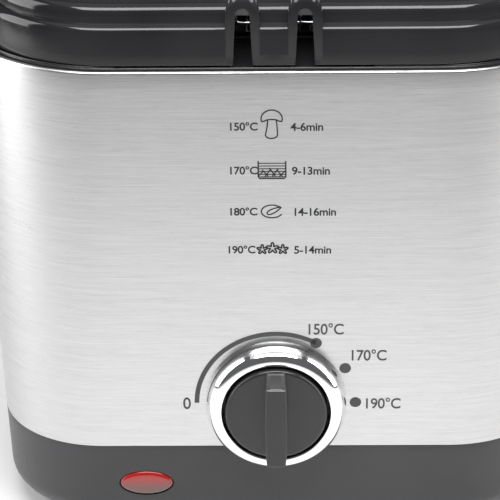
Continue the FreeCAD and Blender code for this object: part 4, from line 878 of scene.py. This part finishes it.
def make_basket():
    """Woven wire basket: hoops and uprights that pass over and under each other, and a woven floor."""
    low, top = TUB_LOW.z, TUB_HIGH.z
    half = np.array([TUB_HIGH.x, TUB_HIGH.y])
    wire, pitch = 0.5 * MM, 4.6 * MM
    levels = np.arange(low + 7 * MM, top - 2 * MM, pitch)

    def wall_ring(z, count):
        """Points spread evenly round the basket's wall at a height."""
        grow = -6 * MM * (top - z) / (top - low) - wire
        path = rings([(0, half[0] + grow, half[1] + grow, 28 * MM + grow)], steps=(40, 60))[0, :, :2]
        path = np.concatenate([path, path[:1]])
        run = np.concatenate([[0], np.cumsum(np.linalg.norm(np.diff(path, axis=0), axis=1))])
        want = np.linspace(0, run[-1], count, endpoint=False)
        return np.stack([np.interp(want, run, path[:, 0]), np.interp(want, run, path[:, 1])], 1)

    uprights, swing, inset = 112, 0.42 * MM, 0.45 * MM
    hoops = []
    for k, z in enumerate(levels):
        flat = wall_ring(z, uprights * 3)
        away = flat / np.linalg.norm(flat, axis=1, keepdims=True)
        wave = swing * np.cos(np.arange(uprights * 3) * math.pi / 3 + k * math.pi)
        hoops.append(np.column_stack([flat + away * wave[:, None] - away * inset, np.full(len(flat), z)]))
    steps = np.linspace(0, 1, 46)
    heights = top - 1 * MM - (top - low - 6 * MM) * steps
    columns = np.array([wall_ring(z, uprights) for z in heights]).transpose(1, 0, 2)
    away = columns / np.linalg.norm(columns, axis=-1, keepdims=True)
    phase = (heights - levels[0]) / pitch * math.pi
    wave = -swing * np.cos(phase[None] + np.arange(uprights)[:, None] * math.pi)
    columns = columns + away * wave[..., None] - away * inset
    columns = np.concatenate([columns, np.broadcast_to(heights[None, :, None], (*columns.shape[:2], 1))], -1)
    turn = np.radians(np.linspace(0, 90, 8))[1:]
    bend = columns[:, -1:, :].copy()
    inward = bend[..., :2] / np.linalg.norm(bend[..., :2], axis=-1, keepdims=True)
    flat = bend[..., :2] - inward * (5.2 * MM * (1 - np.cos(turn)))[None, :, None]
    drop = low + 6 * MM - 5.3 * MM * np.sin(turn)
    foot = np.concatenate([flat, np.broadcast_to(drop[None, :, None], (*flat.shape[:2], 1))], -1)
    columns = np.concatenate([columns, foot], 1)
    floor = []
    edge = wall_ring(low, 600)
    reach = np.array([edge[:, 0].max(), edge[:, 1].max()]) - 5.4 * MM
    corner = 18 * MM
    for axis in (0, 1):
        other = 1 - axis
        for j, offset in enumerate(np.arange(-reach[other] + 1.5 * MM, reach[other], pitch)):
            past = max(0.0, abs(offset) - (reach[other] - corner))
            end = reach[axis] - corner + math.sqrt(max(corner ** 2 - past ** 2, 0))
            along = np.linspace(-end, end, 60)
            wave = 0.4 * MM * np.cos(along / pitch * math.pi + j * math.pi) * (1 - 2 * axis)
            line = np.zeros((len(along), 3))
            line[:, axis] = along
            line[:, other] = offset
            line[:, 2] = low + 0.9 * MM + wave
            floor.append(line)
    meshes = [tubes("hoops", np.array(hoops), wire, 6, closed=True),
              tubes("uprights", columns, wire, 6, caps=False), tubes("floor", np.array(floor), wire, 6)]
    weave = raise_object("basket_weave", joined("basket_weave", meshes, 60))
    settle(weave, "basket", "basket_wire", ["basket_mesh"])


def make_rim():
    """Round rim wire: a circle carried round a rounded rectangle."""
    low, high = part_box("basket_rim")
    r = (high.z - low.z) / 2
    path = rings([((low.z + high.z) / 2, high.x - r, high.y - r, 29.7 * MM)], steps=(20, 6))[0]
    rim = raise_object("basket_hoop", tubes("basket_hoop", path[None], r, 14, closed=True))
    settle(rim, "basket", "basket_wire", ["basket_rim"])


def handle_frame():
    """Local Y along the folded handle from its pivot, local Z across it."""
    pivot = Vector(JOINTS["handle_fold"]["pos_m"])
    return Matrix.Translation(pivot) @ Matrix.Rotation(-math.radians(FOLD_DEGREES), 4, "X")


def make_handle():
    """Two wires with outward trunnions, and a moulded grip with a waist and shallow finger grooves."""
    r = 1.6 * MM
    bend = 2.4 * MM
    turn = np.radians(np.linspace(180, 270, 9))
    start = np.linspace(15.6, SLOT_X / MM + 2.4, 8)[:, None] * [MM, 0, 0]
    curve = np.stack([SLOT_X + bend + bend * np.cos(turn[::-1]), bend + bend * np.sin(turn[::-1]),
                      np.zeros(9)], 1)
    arm = np.stack([np.full(30, SLOT_X), np.linspace(bend, 63 * MM, 30), np.zeros(30)], 1)
    right = np.concatenate([start[:-1], curve, arm[1:]])
    wires = [tubes("wire", (right * [s, 1, 1])[None], r, 14) for s in (1, -1)]
    wire = raise_object("handle_wires", moved(joined("handle_wires", wires, 60), handle_frame()))
    settle(wire, "handle", "basket_wire", ["handle_wire"])
    along = np.concatenate([[50.0, 50.3, 51.0, 52.2], np.linspace(53.5, 94, 60), [95.8, 97.1, 97.8, 98.0]])
    ease = np.concatenate([[2.2, 1.3, 0.5, 0.1], np.zeros(60), [0.3, 1.2, 2.4, 3.6]])
    groove = 0.35 * np.clip(np.cos((along - 73) * 2 * math.pi / 9.0), -1, 1) * (np.abs(along - 73) < 18)
    waist = 0.9 * np.cos((along - 74) / 24 * math.pi / 2) ** 2
    hx = 15.0 - ease - waist
    hy = 6.0 - ease - 0.35 + np.minimum(groove, 0.35)
    levels = np.stack([along, hx, hy, np.minimum(5.6, hy - 0.1)], 1) * MM
    points = rings(levels, steps=(10, 6))[..., [0, 2, 1]] * [1, 1, -1]
    palm = grid_mesh("handle_palm", points, cap_low=True, cap_high=True, sharp=60)
    body = raise_object("handle_palm", moved(palm, handle_frame()))
    settle(body, "handle", "grip_plastic", ["handle_grip"])


def make_gland():
    """Turned cord gland: a stem, a flange, a nose with three grip rings and an open bore."""
    profile = [(3.6, 0), (5.9, 0), (5.9, 7.0), (9.0, 7.05), (9.0, 8.6), (8.5, 9.2), (6.6, 9.3), (6.6, 9.9),
               (6.1, 10.2), (6.1, 10.9), (6.5, 11.2), (6.5, 11.7), (6.0, 12.0), (6.0, 12.7), (6.3, 13.0),
               (6.2, 13.6), (5.6, 14.6), (5.1, 15.0), (4.2, 15.0), (3.6, 14.4), (3.6, 0)]
    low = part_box("cord_gland")[0].y
    place = Matrix.Translation((0, low, GLAND_Z)) @ Matrix.Rotation(-math.pi / 2, 4, "X")
    gland = raise_object("gland_boss", moved(turned("gland_boss", np.array(profile) * MM, 64), place))
    settle(gland, "body", "rubber", ["cord_gland"])


make_shell()
make_base()
make_feet()
make_collar()
make_lid()
make_window()
make_bezel()
make_dial()
make_lamp()
make_dial_print()
make_chart_print()
make_pot()
make_basket()
make_rim()
make_handle()
make_gland()


# ---------------------------------------------------------------- stage, light and camera

def make_stage():
    """Plain pale floor."""
    size = 4.0
    mesh = bpy.data.meshes.new("floor")
    corners = [(-size, -size, 0), (size, -size, 0), (size, size, 0), (-size, size, 0)]
    mesh.from_pydata(corners, [], [(0, 1, 2, 3)])
    floor = raise_object("floor", mesh)
    material, nodes, links, shader = new_material("pale_floor")
    cloud = noise(nodes, links, 6)
    links.new(tinted(nodes, links, cloud, (0.80, 0.80, 0.80), (0.84, 0.84, 0.84)), shader.inputs["Base Color"])
    shader.inputs["Roughness"].default_value = 0.6
    mesh.materials.append(material)


def soft_light(name, place, target, size, power):
    """A white rectangular panel that faces a target; the power is in watts."""
    data = bpy.data.lights.new(name, "AREA")
    data.shape = "RECTANGLE"
    data.size, data.size_y = size
    data.energy = power
    light = bpy.data.objects.new(name, data)
    bpy.context.scene.collection.objects.link(light)
    light.location = place
    light.rotation_euler = (Vector(target) - Vector(place)).to_track_quat("-Z", "Y").to_euler()


def make_light():
    """Dim surroundings, tall panels either side, a pool of light in front, and overhead and rear panels."""
    bpy.context.scene.view_settings.view_transform = "Standard"
    world = bpy.data.worlds.new("studio")
    world.use_nodes = True
    world.node_tree.nodes["Background"].inputs["Color"].default_value = (0.97, 0.98, 1, 1)
    world.node_tree.nodes["Background"].inputs["Strength"].default_value = 0.13
    bpy.context.scene.world = world
    middle = (0, 0, 0.1)
    soft_light("left_panel", (-0.62, -0.1, 0.32), middle, (0.34, 0.6), 4.2)
    soft_light("right_panel", (0.62, -0.1, 0.32), middle, (0.34, 0.6), 4.2)
    soft_light("front_pool", (0, -0.22, 0.36), (0, -0.15, 0), (0.34, 0.1), 1.5)
    soft_light("overhead_panel", (0, -0.15, 1.1), middle, (1.4, 0.8), 2.3)
    soft_light("rear_panel", (0, 0.75, 0.6), middle, (1.0, 0.25), 2)


def make_camera():
    """The camera's place, its downward pitch, small yaw and roll, and a long lens."""
    pitch, yaw, roll = 0.4467, -0.0166, -0.0119
    ahead = Vector((math.sin(yaw) * math.cos(pitch), math.cos(yaw) * math.cos(pitch), -math.sin(pitch)))
    right = Vector((math.cos(yaw), -math.sin(yaw), 0))
    up = right.cross(ahead)
    side = right * math.cos(roll) + up * math.sin(roll)
    top = up * math.cos(roll) - right * math.sin(roll)
    place = Matrix((side, top, -ahead)).transposed().to_4x4()
    place.translation = Vector((2.22, -745.1, 428.0)) * MM
    data = bpy.data.cameras.new("camera")
    data.lens = 152.5
    data.sensor_width = 36
    camera = bpy.data.objects.new("camera", data)
    camera.matrix_world = place
    bpy.context.scene.collection.objects.link(camera)
    bpy.context.scene.camera = camera


make_stage()
make_light()
make_camera()
